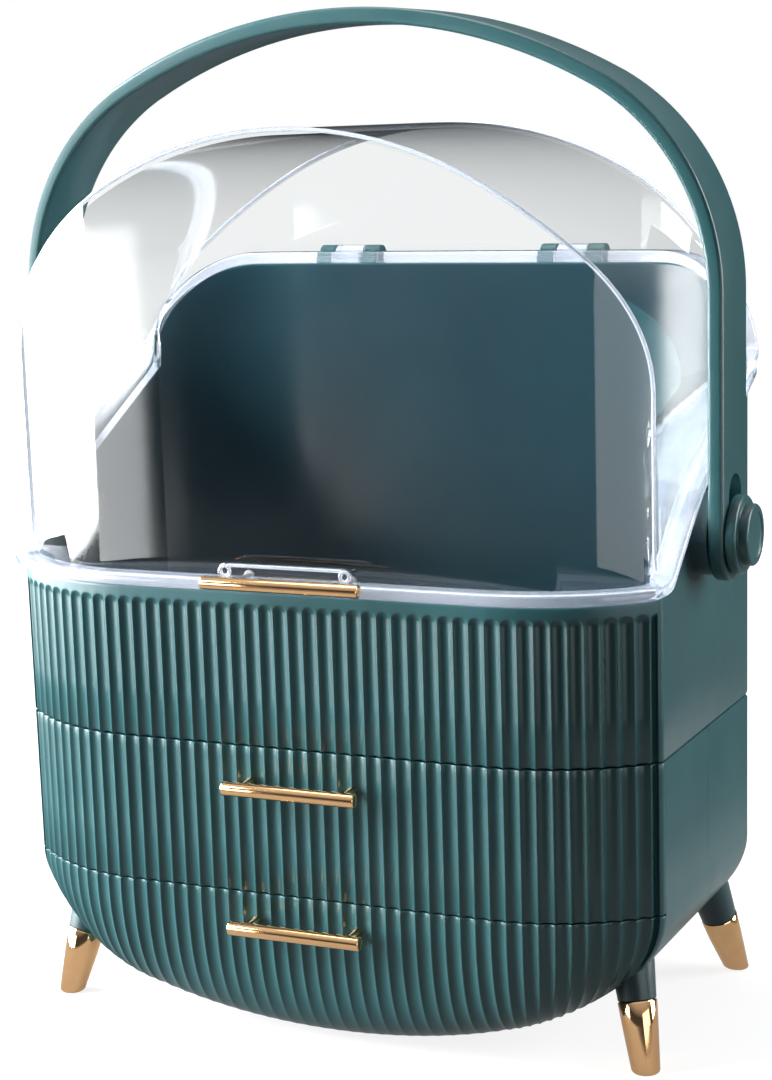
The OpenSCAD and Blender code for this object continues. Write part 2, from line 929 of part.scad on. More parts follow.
// bosses inside a bowed front that take the front screws
module front_bosses(low, top) {
    at_front_screws(low, top) {
        rotate([90, 0, 0]) {
            translate([0, 0, seam_gap / 2]) cylinder(r = front_boss_r, h = corner_r + front_plane - front_skin + 1, $fn = 32);
        }
    }
}

// blind seats for the posts of a bar, and bores for its screws
module bar_sinks(z) {
    for (side = [-1, 1]) {
        translate([side * post_x, front_draw(z) - corner_r, z]) {
            rotate([90, 0, 0]) translate([0, 0, -flute_depth - post_sink]) cylinder(r = post_r + slide_fit, h = 10, $fn = 48);
            rotate([-90, 0, 0]) cylinder(r = 1 + slide_fit, h = 20, $fn = 32);
        }
    }
}

// screws from inside a bowed front into the posts of its bar
module pull_screws(z) {
    color(steel) {
        for (side = [-1, 1]) {
            translate([side * post_x, front_draw(z) - corner_r + front_skin + screw_seat, z]) {
                rotate([90, 0, 0]) cylinder(r = 1, h = bar_screw_l, $fn = 32);
                rotate([-90, 0, 0]) cylinder(r = 2.2, h = 1.2, $fn = 32);
            }
        }
    }
}

module drawer_pull(z) {
    color(gold) {
        translate([0, front_draw(z), 0]) {
            pull_bar(bar_r, bar_l, -corner_r - bar_out, z, -corner_r + flute_depth + post_sink - 0.1);
        }
    }
}

module upper_drawer_box() {
    color(dark_green) drawer_box(upper_box_x, upper_box_back, upper_box_z, upper_box_top, upper_cover_x, upper_box_slant);
}

module upper_drawer_front() {
    low = seam_low + seam_gap / 2;
    high = seam_high - seam_gap / 2;
    color(shell_green) {
        difference() {
            intersection() {
                translate([0, 0, low]) linear_extrude(high - low) fluted_plan();
                translate([-far / 2, front_plane - seam_gap / 2 - deep, low]) cube([far, deep, high - low]);
            }
            difference() {
                translate([0, 0, low + front_edge]) linear_extrude(high - low - 2 * front_edge) plan(-front_skin);
                front_bosses(upper_box_z, upper_box_top);
            }
            front_screw_cuts(upper_box_z, upper_box_top, screw_r + fit);
            bar_sinks(upper_bar_z);
        }
    }
}

module upper_pull_bar() { drawer_pull(upper_bar_z); }
module upper_pull_screws() { pull_screws(upper_bar_z); }
module upper_front_screws() { front_screws(upper_box_z, upper_box_top); }

module lower_drawer_box() {
    color(dark_green) drawer_box(lower_box_x, lower_box_back, lower_box_z, lower_box_top, lower_cover_x, lower_box_slant);
}

module lower_drawer_front() {
    high = seam_low - seam_gap / 2;
    color(shell_green) {
        difference() {
            intersection() {
                bowl(fluted_columns(), bowl_step);
                translate([-far / 2, front_plane - seam_gap / 2 - deep, 0]) cube([far, deep, high]);
            }
            difference() {
                bowl(plain_columns(), front_skin);
                translate([-far / 2, -far / 2, high - front_edge]) cube([far, far, seam_low]);
                front_bosses(lower_box_z, lower_box_top);
            }
            front_screw_cuts(lower_box_z, lower_box_top, screw_r + fit);
            bar_sinks(lower_bar_z);
        }
    }
}

module lower_pull_bar() { drawer_pull(lower_bar_z); }
module lower_pull_screws() { pull_screws(lower_bar_z); }
module lower_front_screws() { front_screws(lower_box_z, lower_box_top); }

// ---------------------------------------------------------------- handle

// places children on the pivot's axis on one side, with z running outwards from the middle
module at_pivot(side) {
    mirror([side < 0 ? 1 : 0, 0, 0]) translate([0, pivot_y, pivot_z]) rotate([0, 90, 0]) children();
}

module pivot_bores(radius) {
    for (side = [-1, 1]) {
        at_pivot(side) translate([0, 0, half_w - wall - 5]) cylinder(r = radius, h = wall + 10, $fn = 48);
    }
}

// side view of the handle's band, in Y and Z
module handle_side() {
    translate([pivot_y - handle_w / 2, end_z]) square([handle_w, far]);
    translate([pivot_y, end_z]) circle(d = handle_w);
}

module slot_side() {
    half_slot = bush_r + slide_fit;
    translate([pivot_y - half_slot, pivot_z]) square([2 * half_slot, slot_travel]);
    translate([pivot_y, pivot_z]) circle(r = half_slot);
    translate([pivot_y, pivot_z + slot_travel]) circle(r = half_slot);
}

module carry_handle() {
    color(dark_green) {
        difference() {
            intersection() {
                translate([0, deep, 0]) {
                    rotate([90, 0, 0]) {
                        linear_extrude(2 * deep) {
                            difference() {
                                arch(handle_half, handle_top, handle_shoulder_r, handle_shoulder_z, 0);
                                arch(handle_half, handle_top, handle_shoulder_r, handle_shoulder_z, handle_t);
                            }
                        }
                    }
                }
                rotate([90, 0, 90]) translate([0, 0, -far / 2]) linear_extrude(far) handle_side();
            }
            rotate([90, 0, 90]) translate([0, 0, -far / 2]) linear_extrude(far) slot_side();
        }
    }
}

module spacer(side) {
    color(shell_green) {
        at_pivot(side) {
            translate([0, 0, half_w]) {
                difference() {
                    cylinder(r = spacer_r, h = handle_gap - 2 * play);
                    translate([0, 0, -1]) cylinder(r = pivot_pin_r + fit, h = handle_gap + 2, $fn = 48);
                }
            }
        }
    }
}

module slot_bush(side) {
    color(steel) {
        at_pivot(side) {
            translate([0, 0, leg_inner - play]) {
                difference() {
                    cylinder(r = bush_r, h = handle_t + 2 * play, $fn = 64);
                    translate([0, 0, -1]) cylinder(r = pivot_pin_r + fit, h = handle_t + 4, $fn = 48);
                }
            }
        }
    }
}

module pivot_pin(side) {
    color(steel) {
        at_pivot(side) {
            translate([0, 0, half_w - wall - nut_t - 1]) {
                cylinder(r = pivot_pin_r, h = handle_half - half_w + wall + nut_t + 1 + pin_end, $fn = 48);
            }
        }
    }
}

module pivot_knob(side) {
    color(dark_green) {
        at_pivot(side) {
            translate([0, 0, handle_half + 2 * play]) {
                difference() {
                    union() {
                        cylinder(r = knob_r, h = knob_step);
                        cylinder(r = knob_face_r, h = knob_t);
                    }
                    translate([0, 0, -1]) cylinder(r = pivot_pin_r + fit, h = pin_end + 1.2, $fn = 48);
                }
            }
        }
    }
}

module pivot_nuts() {
    color(steel) {
        for (side = [-1, 1]) {
            at_pivot(side) {
                translate([0, 0, half_w - wall - nut_t]) {
                    difference() {
                        cylinder(r = nut_r, h = nut_t, $fn = 6);
                        translate([0, 0, -1]) cylinder(r = pivot_pin_r + fit, h = nut_t + 2, $fn = 48);
                    }
                }
            }
        }
    }
}

module left_spacer() { spacer(-1); }
module right_spacer() { spacer(1); }
module left_slot_bush() { slot_bush(-1); }
module right_slot_bush() { slot_bush(1); }
module left_pivot_pin() { pivot_pin(-1); }
module right_pivot_pin() { pivot_pin(1); }
module left_pivot_knob() { pivot_knob(-1); }
module right_pivot_knob() { pivot_knob(1); }

upper_casing();
lower_casing();
casing_screws();
clear_lid();
lid_grip_tab();
lid_grip_bar();
lid_grip_screws();
hinge_pins();
upper_drawer_box();
upper_drawer_front();
upper_pull_bar();
upper_pull_screws();
upper_front_screws();
lower_drawer_box();
lower_drawer_front();
lower_pull_bar();
lower_pull_screws();
lower_front_screws();
front_left_leg();
front_right_leg();
back_left_leg();
back_right_leg();
front_left_cap();
front_right_cap();
back_left_cap();
back_right_cap();
leg_screws();
carry_handle();
left_spacer();
right_spacer();
left_slot_bush();
right_slot_bush();
left_pivot_pin();
right_pivot_pin();
left_pivot_knob();
right_pivot_knob();
pivot_nuts();
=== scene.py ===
import bmesh
import bpy
import numpy as np
from mathutils import Matrix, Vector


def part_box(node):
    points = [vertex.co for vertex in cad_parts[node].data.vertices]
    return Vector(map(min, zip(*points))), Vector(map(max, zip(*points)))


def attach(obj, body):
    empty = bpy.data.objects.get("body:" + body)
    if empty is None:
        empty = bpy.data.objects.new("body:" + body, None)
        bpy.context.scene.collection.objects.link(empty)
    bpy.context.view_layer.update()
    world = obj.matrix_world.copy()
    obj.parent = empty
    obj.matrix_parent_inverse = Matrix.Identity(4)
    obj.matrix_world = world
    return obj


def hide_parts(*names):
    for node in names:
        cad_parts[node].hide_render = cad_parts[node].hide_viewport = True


# Makeup organizer: two bowed fluted drawers, an open tray under a clear arched lid, and a carrying handle.
# Metres, +Z up, the front faces -Y and the floor is z = 0.
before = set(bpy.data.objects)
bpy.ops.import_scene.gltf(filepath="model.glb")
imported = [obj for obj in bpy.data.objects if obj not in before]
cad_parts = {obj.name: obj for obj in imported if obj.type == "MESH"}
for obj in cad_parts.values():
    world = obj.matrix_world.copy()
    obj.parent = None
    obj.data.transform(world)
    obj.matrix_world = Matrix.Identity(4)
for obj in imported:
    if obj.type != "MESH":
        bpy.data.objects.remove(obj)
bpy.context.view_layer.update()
scene = bpy.context.scene
scene.view_settings.view_transform = "Standard"

# ------------ camera
# The photograph is taken from the right of the front and from a little above. It is 772 x 1080 pixels, and
# its vanishing lines meet below the middle of the frame, so the lens is shifted by that many pixels.
camera_place = np.array([0.42682, -0.920, 0.38243])
yaw, pitch, roll = np.radians([24.9, -11.8, -1.8])
focal_pixels = 2378.66
frame_pixels_high = 1080
axis_below_middle = 73
film_mm = 36

ahead = np.array([-np.sin(yaw) * np.cos(pitch), np.cos(yaw) * np.cos(pitch), np.sin(pitch)])
level_right = np.array([np.cos(yaw), np.sin(yaw), 0])
level_up = np.cross(level_right, ahead)
camera_right = level_right * np.cos(roll) + level_up * np.sin(roll)
camera_up = level_up * np.cos(roll) - level_right * np.sin(roll)
lens = bpy.data.cameras.new("camera")
lens.sensor_fit = "VERTICAL"
lens.sensor_height = film_mm
lens.lens = film_mm * focal_pixels / frame_pixels_high
lens.shift_y = axis_below_middle / frame_pixels_high
camera = bpy.data.objects.new("camera", lens)
placing = np.eye(4)
placing[:3, :] = np.column_stack([camera_right, camera_up, -ahead, camera_place])
camera.matrix_world = Matrix(placing.tolist())
scene.collection.objects.link(camera)
scene.camera = camera

# ------------ room
# A plain pale floor in white surroundings. Gloss sees a darker room, bright overhead and round the feet, so
# that metal and plastic show bands of light and dark. A big soft lamp at the left gives most of the light.


def node_of(tree, kind, inputs=(), **settings):
    """One shader node: its settings, and a value or a socket for each named or numbered input."""
    node = tree.nodes.new(kind)
    for name, value in settings.items():
        setattr(node, name, value)
    for name, value in dict(inputs).items():
        if isinstance(value, bpy.types.NodeSocket):
            tree.links.new(value, node.inputs[name])
        else:
            node.inputs[name].default_value = value
    return node


def ramp_of(tree, factor, stops):
    """A colour ramp through (place, colour) stops, read at the factor."""
    node = node_of(tree, "ShaderNodeValToRGB", {"Fac": factor})
    while len(node.color_ramp.elements) < len(stops):
        node.color_ramp.elements.new(0.5)
    for element, (place, colour) in zip(node.color_ramp.elements, stops):
        element.position = place
        element.color = (*colour, 1)
    return node.outputs["Color"]


def grey(tone):
    """A neutral colour of one tone."""
    return (tone, tone, tone)


def empty_material(name):
    """A node material of that name without any nodes, and its tree."""
    material = bpy.data.materials.new(name)
    material.use_nodes = True
    material.node_tree.nodes.clear()
    return material, material.node_tree


world = bpy.data.worlds.new("room")
world.use_nodes = True
scene.world = world
room = world.node_tree
room.nodes.clear()
room_rays = node_of(room, "ShaderNodeLightPath").outputs
room_seen = node_of(room, "ShaderNodeMath", operation="MAXIMUM", inputs={
    0: room_rays["Is Camera Ray"], 1: room_rays["Is Transmission Ray"]}).outputs[0]
room_way = node_of(room, "ShaderNodeTexCoord").outputs["Generated"]
room_height = node_of(room, "ShaderNodeSeparateXYZ", {0: room_way}).outputs["Z"]
room_share = node_of(room, "ShaderNodeMapRange", {
    "Value": room_height, "From Min": -1.0, "From Max": 1.0}).outputs["Result"]
# seen in gloss it is dark round about and bright overhead, and matt faces get only a little of it
room_gloss = ramp_of(room, room_share, [
    (0.0, grey(0.5)), (0.46, (0.08, 0.09, 0.10)), (0.60, (0.05, 0.06, 0.07)),
    (0.72, (0.45, 0.47, 0.48)), (1.0, grey(1.0))])
room_soft = ramp_of(room, room_share, [
    (0.0, (0.03, 0.033, 0.036)), (0.5, (0.03, 0.033, 0.036)), (1.0, (0.22, 0.23, 0.24))])
room_unseen = node_of(room, "ShaderNodeMix", data_type="RGBA", inputs={
    0: room_rays["Is Glossy Ray"], 6: room_soft, 7: room_gloss}).outputs[2]
room_colour = node_of(room, "ShaderNodeMix", data_type="RGBA", inputs={
    0: room_seen, 6: room_unseen, 7: (1, 1, 1, 1)}).outputs[2]
room_background = node_of(room, "ShaderNodeBackground", {"Color": room_colour, "Strength": 1.0})
node_of(room, "ShaderNodeOutputWorld", {"Surface": room_background.outputs[0]})

floor_half = 3.0
floor_mesh = bpy.data.meshes.new("floor")
floor_mesh.from_pydata([(-floor_half, -floor_half, 0), (floor_half, -floor_half, 0),
                        (floor_half, floor_half, 0), (-floor_half, floor_half, 0)], [], [(0, 1, 2, 3)])
floor = bpy.data.objects.new("floor", floor_mesh)
scene.collection.objects.link(floor)
floor_paint, paint = empty_material("floor")
floor_rays = node_of(paint, "ShaderNodeLightPath").outputs
floor_seen = node_of(paint, "ShaderNodeMath", operation="MAXIMUM", inputs={
    0: floor_rays["Is Camera Ray"], 1: floor_rays["Is Transmission Ray"]}).outputs[0]
floor_place = node_of(paint, "ShaderNodeTexCoord").outputs["Object"]
floor_reach = node_of(paint, "ShaderNodeVectorMath", operation="LENGTH", inputs={
    0: floor_place}).outputs["Value"]
# the eye sees a pale floor that turns white away from the object and takes its shadow
floor_far = node_of(paint, "ShaderNodeMapRange", {
    "Value": floor_reach, "From Min": 0.25, "From Max": 0.8, "To Min": 0.84, "To Max": 1.0}).outputs["Result"]
floor_glow = node_of(paint, "ShaderNodeEmission", {"Color": (1, 1, 1, 1), "Strength": floor_far})
floor_matt = node_of(paint, "ShaderNodeBsdfDiffuse", {"Color": (*grey(0.20), 1)})
floor_pale = node_of(paint, "ShaderNodeAddShader", {0: floor_matt.outputs[0], 1: floor_glow.outputs[0]})
# gloss sees a bright patch round the feet and darkness beyond it, and matt faces get little light from below
floor_patch = node_of(paint, "ShaderNodeMapRange", {
    "Value": floor_reach, "From Min": 0.32, "From Max": 0.55, "To Min": 0.4, "To Max": 0.0}).outputs["Result"]
patch_share = node_of(paint, "ShaderNodeMath", operation="MULTIPLY", inputs={
    0: floor_patch, 1: floor_rays["Is Glossy Ray"]}).outputs[0]
patch_glow = node_of(paint, "ShaderNodeEmission", {"Color": (1, 1, 1, 1), "Strength": patch_share})
floor_dim = node_of(paint, "ShaderNodeBsdfDiffuse", {"Color": (*grey(0.08), 1)})
floor_unseen = node_of(paint, "ShaderNodeAddShader", {0: floor_dim.outputs[0], 1: patch_glow.outputs[0]})
floor_mix = node_of(paint, "ShaderNodeMixShader", {
    0: floor_seen, 1: floor_unseen.outputs[0], 2: floor_pale.outputs[0]})
node_of(paint, "ShaderNodeOutputMaterial", {"Surface": floor_mix.outputs[0]})
floor_mesh.materials.append(floor_paint)


def lamp(name, place, aim, size, watts, gloss_only=False):
    """A soft rectangular lamp at a place that shines at the aim. Gloss alone may show it, as a pale card."""
    light = bpy.data.lights.new(name, "AREA")
    light.shape = "RECTANGLE"
    light.size, light.size_y = size
    light.energy = watts
    body = bpy.data.objects.new(name, light)
    back = np.array(place, float) - np.array(aim, float)
    back /= np.linalg.norm(back)
    across = np.cross([0, 0, 1], back)
    across /= np.linalg.norm(across)
    turned = np.eye(4)
    turned[:3, :] = np.column_stack([across, np.cross(back, across), back, place])
    body.matrix_world = Matrix(turned.tolist())
    body.visible_camera = False
    body.visible_transmission = False
    body.visible_diffuse = not gloss_only
    scene.collection.objects.link(body)


lamp("key_left", (-1.13, -0.24, 0.45), (0, 0, 0.2), (1.5, 1.2), 150)
lamp("fill_right", (1.42, 0.72, 0.6), (0.1, 0, 0.2), (0.8, 1.3), 34)
lamp("top", (-0.2, 0.1, 1.6), (0, 0, 0.3), (1.2, 0.8), 13)
# two low pale cards stand on the floor and show as soft upright bands in the lid's bowed front
lamp("card_left", (-0.708, -0.860, 0.15), (0, 0, 0.15), (0.32, 0.30), 2.3, True)
lamp("card_right", (0.90, -0.45, 0.16), (0, 0, 0.16), (0.70, 0.32), 1.9, True)

# ------------ upper casing
# The big tub of deep teal plastic that holds the tray. It is moulded in one piece, with hollow flutes across
# its bowed front that end in round tops under a plain lip, and a high back wall. Four screws hold it down.
corner_r = 0.088
corner_x = 0.080
body_half = 0.145
edge_r = 0.004
seam_low = 0.068
seam_high = 0.131
gap_half = 0.0003
shell_wall = 0.0028
rim_front, rim_mid, rim_back = 0.196, 0.231, 0.270
rise_start, rise_bend, back_start = -0.062, -0.020, 0.057
back_top, back_r = 0.316, 0.044
flute_count = 46
flute_pitch = 0.00656
flute_r = 0.004
flute_depth = 0.0015
flute_end = flute_count / 2 * flute_pitch

# lengths along the plan's outer line, from the middle of the front, at which its stretches end
fillet_start_turn = np.arcsin((body_half - edge_r - corner_x) / (corner_r - edge_r))
arc_end = corner_x + corner_r * fillet_start_turn
fillet_end = arc_end + edge_r * (np.pi / 2 - fillet_start_turn)
side_end = fillet_end + (corner_r - edge_r) * np.cos(fillet_start_turn)


def joined(parts):
    """Arrays put end to end, without the first of each that repeats the last of the one before."""
    return np.concatenate([parts[0]] + [part[1:] for part in parts[1:]])


def stretches(run):
    """Shares from 0 to 1 of the flat, the arc, the fillet and the side that a signed length has passed."""
    run = np.abs(run)
    flat = np.clip(run / corner_x, 0, 1)
    arc = np.clip((run - corner_x) / (arc_end - corner_x), 0, 1)
    fillet = np.clip((run - arc_end) / (fillet_end - arc_end), 0, 1)
    side = np.clip((run - fillet_end) / (side_end - fillet_end), 0, 1)
    return flat, arc, fillet, side


def outline(run, inset=0.0):
    """Half of the body's plan at signed lengths from the middle of the front, drawn in by inset.

    The front is flat up to corner_x, then an arc about (corner_x, 0) of radius corner_r - inset. It meets the
    flat side, at body_half - inset, in a fillet of radius edge_r about the point edge_r inside both.
    The line ends at the middle of the side. Gives x, y and the outward normal's x and y.
    """
    flat, arc, fillet, side = stretches(run)
    radius = corner_r - inset
    fillet_x = body_half - inset - edge_r
    fillet_turn = np.arcsin((fillet_x - corner_x) / (radius - edge_r))
    fillet_y = -(radius - edge_r) * np.cos(fillet_turn)
    turn = arc * fillet_turn + fillet * (np.pi / 2 - fillet_turn)
    on_arc = fillet <= 0
    reach = np.where(on_arc, radius, edge_r)
    x = np.where(on_arc, corner_x * flat, fillet_x) + reach * np.sin(turn)
    y = np.where(on_arc, 0.0, fillet_y) - reach * np.cos(turn)
    y = np.where(side > 0, fillet_y * (1 - side), y)
    hand = np.sign(run)
    return x * hand, y, np.sin(turn) * hand, -np.cos(turn)


def front_lengths(points_per_flute):
    """Signed lengths along the front half of the plan, with that many points to each pitch of the flutes.

    Two sine waves move the even shares within a pitch, so that the points lie closest about the ridge in its
    middle. Beyond the flutes come the rest of the arc, the fillet and the side.
    """
    share = np.linspace(0, 1, points_per_flute + 1)[:-1]
    crowd = -0.35 * np.sin(4 * np.pi * share) / (4 * np.pi) + 0.25 * np.sin(2 * np.pi * share) / (2 * np.pi)
    starts = (np.arange(flute_count) - flute_count / 2) * flute_pitch
    fluted = (starts[:, None] + (share + crowd) * flute_pitch).ravel()
    corner = joined([np.linspace(flute_end, arc_end, 4), np.linspace(arc_end, fillet_end, 7),
                     np.linspace(fillet_end, side_end, 26)])
    return np.concatenate([-corner[::-1], fluted[1:], corner])


def flute_dent(run, below_end=np.inf):
    """Depth of the flutes: round hollows of radius flute_r, flute_depth deep, each closed by a round end.

    A hollow's middle lies at every whole number of pitches. The hollow is a cylinder below its end and a ball
    there, so its depth is what is left of flute_r after the distance from its middle line, and below_end is
    the distance under the end. The ridges are softened as (a + sqrt(a^2 + soft^2)) / 2 is a soft larger of a
    and 0.
    """
    soft = 0.00006
    pitches = run / flute_pitch
    across = np.abs(pitches - np.round(pitches)) * flute_pitch
    half = np.sqrt(flute_r ** 2 - (flute_r - flute_depth) ** 2)
    past = np.maximum(half - below_end, 0)
    depth = np.sqrt(np.maximum(flute_r ** 2 - across ** 2 - past ** 2, 0)) - (flute_r - flute_depth)
    dent = 0.5 * (depth + np.sqrt(depth ** 2 + soft ** 2))
    return np.where(np.abs(run) <= flute_end, dent, 0.0)


def rim_height(x, y):
    """Height of the casing's rim: level along the front, steep at the corner, then a long rise to the back.

    Behind back_start it is the outline of the back wall, whose two upper corners are round. Each bend is
    softened by a parabola, as (a + b + sqrt((a - b)^2 + soft^2)) / 2 is a soft larger one of a and b.
    """
    soft = 0.004
    steep = rim_front + (y - rise_start) / (rise_bend - rise_start) * (rim_mid - rim_front)
    gentle = rim_mid + (y - rise_bend) / (back_start - rise_bend) * (rim_back - rim_mid)
    side = 0.5 * (steep + gentle - np.sqrt((steep - gentle) ** 2 + soft ** 2))
    side = 0.5 * (side + rim_front + np.sqrt((side - rim_front) ** 2 + (soft / 2) ** 2))
    side = np.minimum(side, rim_back)
    past = np.clip(np.abs(x) - (body_half + 0.0002 - back_r), 0, back_r)
    wall_top = back_top - back_r + np.sqrt(np.maximum(back_r ** 2 - past ** 2, 0))
    return np.where(y > back_start, np.maximum(side, wall_top), side)


def plan_line(run, inset, height, dent=0.0):
    """Points of the plan's front half, moved in along the normals by inset and dent, at a height."""
    x, y, out_x, out_y = outline(run)
    x = x - out_x * (inset + dent)
    return np.column_stack([x, y - out_y * (inset + dent), np.broadcast_to(height, x.shape)])


def ring_of(front, back):
    """A closed ring from its front half and its back half, given as a front too and turned about in Y."""
    return np.concatenate([front, (back * [1, -1, 1])[::-1]])


def ring_faces(rings, around, closed=True):
    """Quads between neighbouring rings of a grid, as an array of four point numbers each."""
    along = np.arange(around if closed else around - 1)
    first = (np.arange(rings - 1) * around)[:, None]
    a = first + along
    b = first + (along + 1) % around
    return np.stack([a, b, b + around, a + around], axis=-1).reshape(-1, 4)


def tub_faces(rings):
    """Faces of a closed solid from a stack of closed rings: the wall, and a strip of quads across each end.

    The strips join each point of a ring's front half to the one that mirrors it in the back half.
    """
    half = len(rings[0]) // 2
    along = np.arange(half - 1)
    facing = 2 * half - 1 - along
    strip = np.stack([along, facing, facing - 1, along + 1], axis=-1)
    last = (len(rings) - 1) * 2 * half
    return np.concatenate([ring_faces(len(rings), 2 * half), strip[:, ::-1], last + strip])


def shaded(mesh, sharp):
    """Smooth shading, broken at the edges that turn by more than the sharp angle in degrees."""
    mesh.polygons.foreach_set("use_smooth", np.ones(len(mesh.polygons), bool))
    mesh.set_sharp_from_angle(angle=np.radians(sharp))


def piece_of(name, points, faces, material, body, slot, sharp=40):
    """A smooth-shaded mesh of the points and faces, which rides on a body and takes the material; the slot is
    not used.
    """
    mesh = bpy.data.meshes.new(name)
    mesh.from_pydata(points.tolist(), [], faces if isinstance(faces, list) else faces.tolist())
    shaded(mesh, sharp)
    mesh.materials.append(material)
    mesh.update()
    piece = bpy.data.objects.new(name, mesh)
    scene.collection.objects.link(piece)
    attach(piece, body)
    return piece


def noise_of(tree, scale, detail):
    """A noise that fills the object's own space, of that scale and detail."""
    place = node_of(tree, "ShaderNodeTexCoord").outputs["Object"]
    noise = node_of(tree, "ShaderNodeTexNoise", {"Vector": place, "Scale": scale, "Detail": detail})
    return noise.outputs["Fac"]


def between(tree, share, low, high):
    """A value that runs from low to high as the share runs from 0 to 1."""
    return node_of(tree, "ShaderNodeMapRange", {
        "Value": share, "To Min": low, "To Max": high}).outputs["Result"]


def moulded(name, low, high, rough, specular=0.5):
    """Moulded plastic: two near tones in broad clouds, a fine skin of bumps, and slightly uneven gloss."""
    material, tree = empty_material(name)
    tone = ramp_of(tree, noise_of(tree, 14.0, 3.0), [(0.3, low), (0.7, high)])
    uneven = between(tree, noise_of(tree, 60.0, 1.0), rough * 0.85, rough * 1.2)
    skin = node_of(tree, "ShaderNodeBump", {
        "Height": noise_of(tree, 900.0, 2.0), "Strength": 0.35, "Distance": 0.00003})
    surface = node_of(tree, "ShaderNodeBsdfPrincipled", {
        "Base Color": tone, "Roughness": uneven, "Normal": skin.outputs["Normal"],
        "Specular IOR Level": specular})
    node_of(tree, "ShaderNodeOutputMaterial", {"Surface": surface.outputs[0]})
    return material


teal = moulded("teal_plastic", (0.018, 0.076, 0.084), (0.023, 0.087, 0.095), 0.30, specular=0.42)
teal_dark = moulded("dark_teal_plastic", (0.014, 0.044, 0.052), (0.018, 0.052, 0.060), 0.34)
# the inside's darker tone is painted shade for the inside of the tub; its lower roughness is a real glossier
# finish
teal_inside_shade = moulded("inner_teal_painted_shade", (0.010, 0.036, 0.050), (0.014, 0.046, 0.062), 0.20)

casing_low = seam_high + gap_half
casing_edge = 0.0006
lip_low = rim_front - 0.005
rim_r = 0.0011
tray_floor = 0.134
inner_foot_r = 0.004
fine_run = front_lengths(14)


def casing_ring(share, inset, drop, fluted):
    """One ring of the upper casing, at a share of the way from the seam up to its own rim, less the drop."""
    x, y, _ = plan_line(fine_run, inset, 0.0).T
    front_z = casing_low + share * (rim_height(x, y) - drop - casing_low)
    back_z = casing_low + share * (rim_height(x, -y) - drop - casing_low)
    dent = flute_dent(fine_run, lip_low - front_z) if fluted else 0.0
    return ring_of(plan_line(fine_run, inset, front_z, dent), plan_line(fine_run, inset, back_z))


# plain rings up the flutes, close ones through their round tops, and then the rim's rounded edge
flute_tops = np.linspace(lip_low - 0.0045, lip_low + 0.0004, 12)
front_rise = rim_front - casing_low
shares_up = np.concatenate([
    [casing_edge / front_rise, 0.3, 0.6, 0.85], (flute_tops - casing_low) / front_rise, [0.975]])
rim_turns = np.radians([0, 22, 45, 68, 90])
casing_rings = [casing_ring(0.0, casing_edge, 0.0, True)]
casing_rings += [casing_ring(share, 0.0, 0.0, True) for share in shares_up]
casing_rings += [casing_ring(1.0, rim_r - rim_r * np.cos(t), rim_r - rim_r * np.sin(t), False)
                 for t in rim_turns]
casing_rings += [casing_ring(1.0, shell_wall - rim_r + rim_r * np.sin(t), rim_r - rim_r * np.cos(t), False)
                 for t in rim_turns]
for t in np.radians([0, 30, 60, 90]):
    foot_line = plan_line(fine_run, shell_wall + inner_foot_r - inner_foot_r * np.cos(t),
                          tray_floor + inner_foot_r - inner_foot_r * np.sin(t))
    casing_rings.append(ring_of(foot_line, foot_line))
casing_faces = tub_faces(casing_rings)
casing = piece_of("casing_shell", np.concatenate(casing_rings), casing_faces, teal, "base", "shell_green",
                  50)

# the inside, from the rim's inner edge down and over the floor, is glossier, and its darker colour is painted
# shade inside the tub
inner_rings = 7
casing.data.materials.append(teal_inside_shade)
ring_size = len(casing_rings[0])
inner_shade_mark = np.zeros(len(casing_faces), np.int32)
inner_shade_mark[(len(casing_rings) - inner_rings) * ring_size:(len(casing_rings) - 1) * ring_size] = 1
inner_shade_mark[1 - ring_size // 2:] = 1
casing.data.polygons.foreach_set("material_index", inner_shade_mark)
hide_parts("upper_casing")

# ------------ drawer fronts
# Two moulded fronts of the same plastic, each screwed to its drawer's box. The upper one carries on the
# casing's flutes, and the lower one curls under as a bowl, where the flutes run out.
front_back_y = -0.0573
front_edge = 0.0003
bowl_clear = 0.002
bowl_inset = 0.030
bowl_fullness = 0.8
bowl_drop = seam_low - bowl_clear
keel_turn = np.arccos(1 - bowl_inset / body_half)


def cut_behind(mesh, plane_y, keep_front):
    """Cuts a closed mesh by the plane y = plane_y, keeps one side of it and closes the cut."""
    work = bmesh.new()
    work.from_mesh(mesh)
    way = (0, 1, 0) if keep_front else (0, -1, 0)
    found = bmesh.ops.bisect_plane(work, geom=work.verts[:] + work.edges[:] + work.faces[:], dist=1e-7,
                                   plane_co=(0, plane_y, 0), plane_no=way, clear_outer=True)
    rim = [e for e in found["geom_cut"] if isinstance(e, bmesh.types.BMEdge)]
    bmesh.ops.holes_fill(work, edges=rim, sides=0)
    work.to_mesh(mesh)
    work.free()
    shaded(mesh, 50)


def wall_ring(inset, height):
    """A fluted ring of the drawers' wall at one height, with a plain back half."""
    front = plan_line(fine_run, inset, height, flute_dent(fine_run))
    return ring_of(front, plan_line(fine_run, inset, height))


def top_edge(height, steps):
    """Fluted rings that round off the upper edge of a drawer front whose top is at that height."""
    return [wall_ring(front_edge - front_edge * np.cos(t), height - front_edge + front_edge * np.sin(t))
            for t in np.radians(np.linspace(0, 90, steps))]


def front_piece(name, rings, body, node):
    """A drawer front from its rings, cut off behind, in place of its CAD node."""
    piece = piece_of(name, np.concatenate(rings), tub_faces(rings), teal, body, "shell_green", 50)
    cut_behind(piece.data, front_back_y, True)
    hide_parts(node)


upper_low = seam_low + gap_half
upper_high = seam_high - gap_half
upper_rings = [wall_ring(front_edge, upper_low)]
upper_rings += [wall_ring(0.0, z) for z in (upper_low + front_edge, 0.09, 0.11, upper_high - 0.004)]
upper_rings += top_edge(upper_high, 4)
front_piece("upper_front_shell", upper_rings, "upper_drawer", "upper_drawer_front")


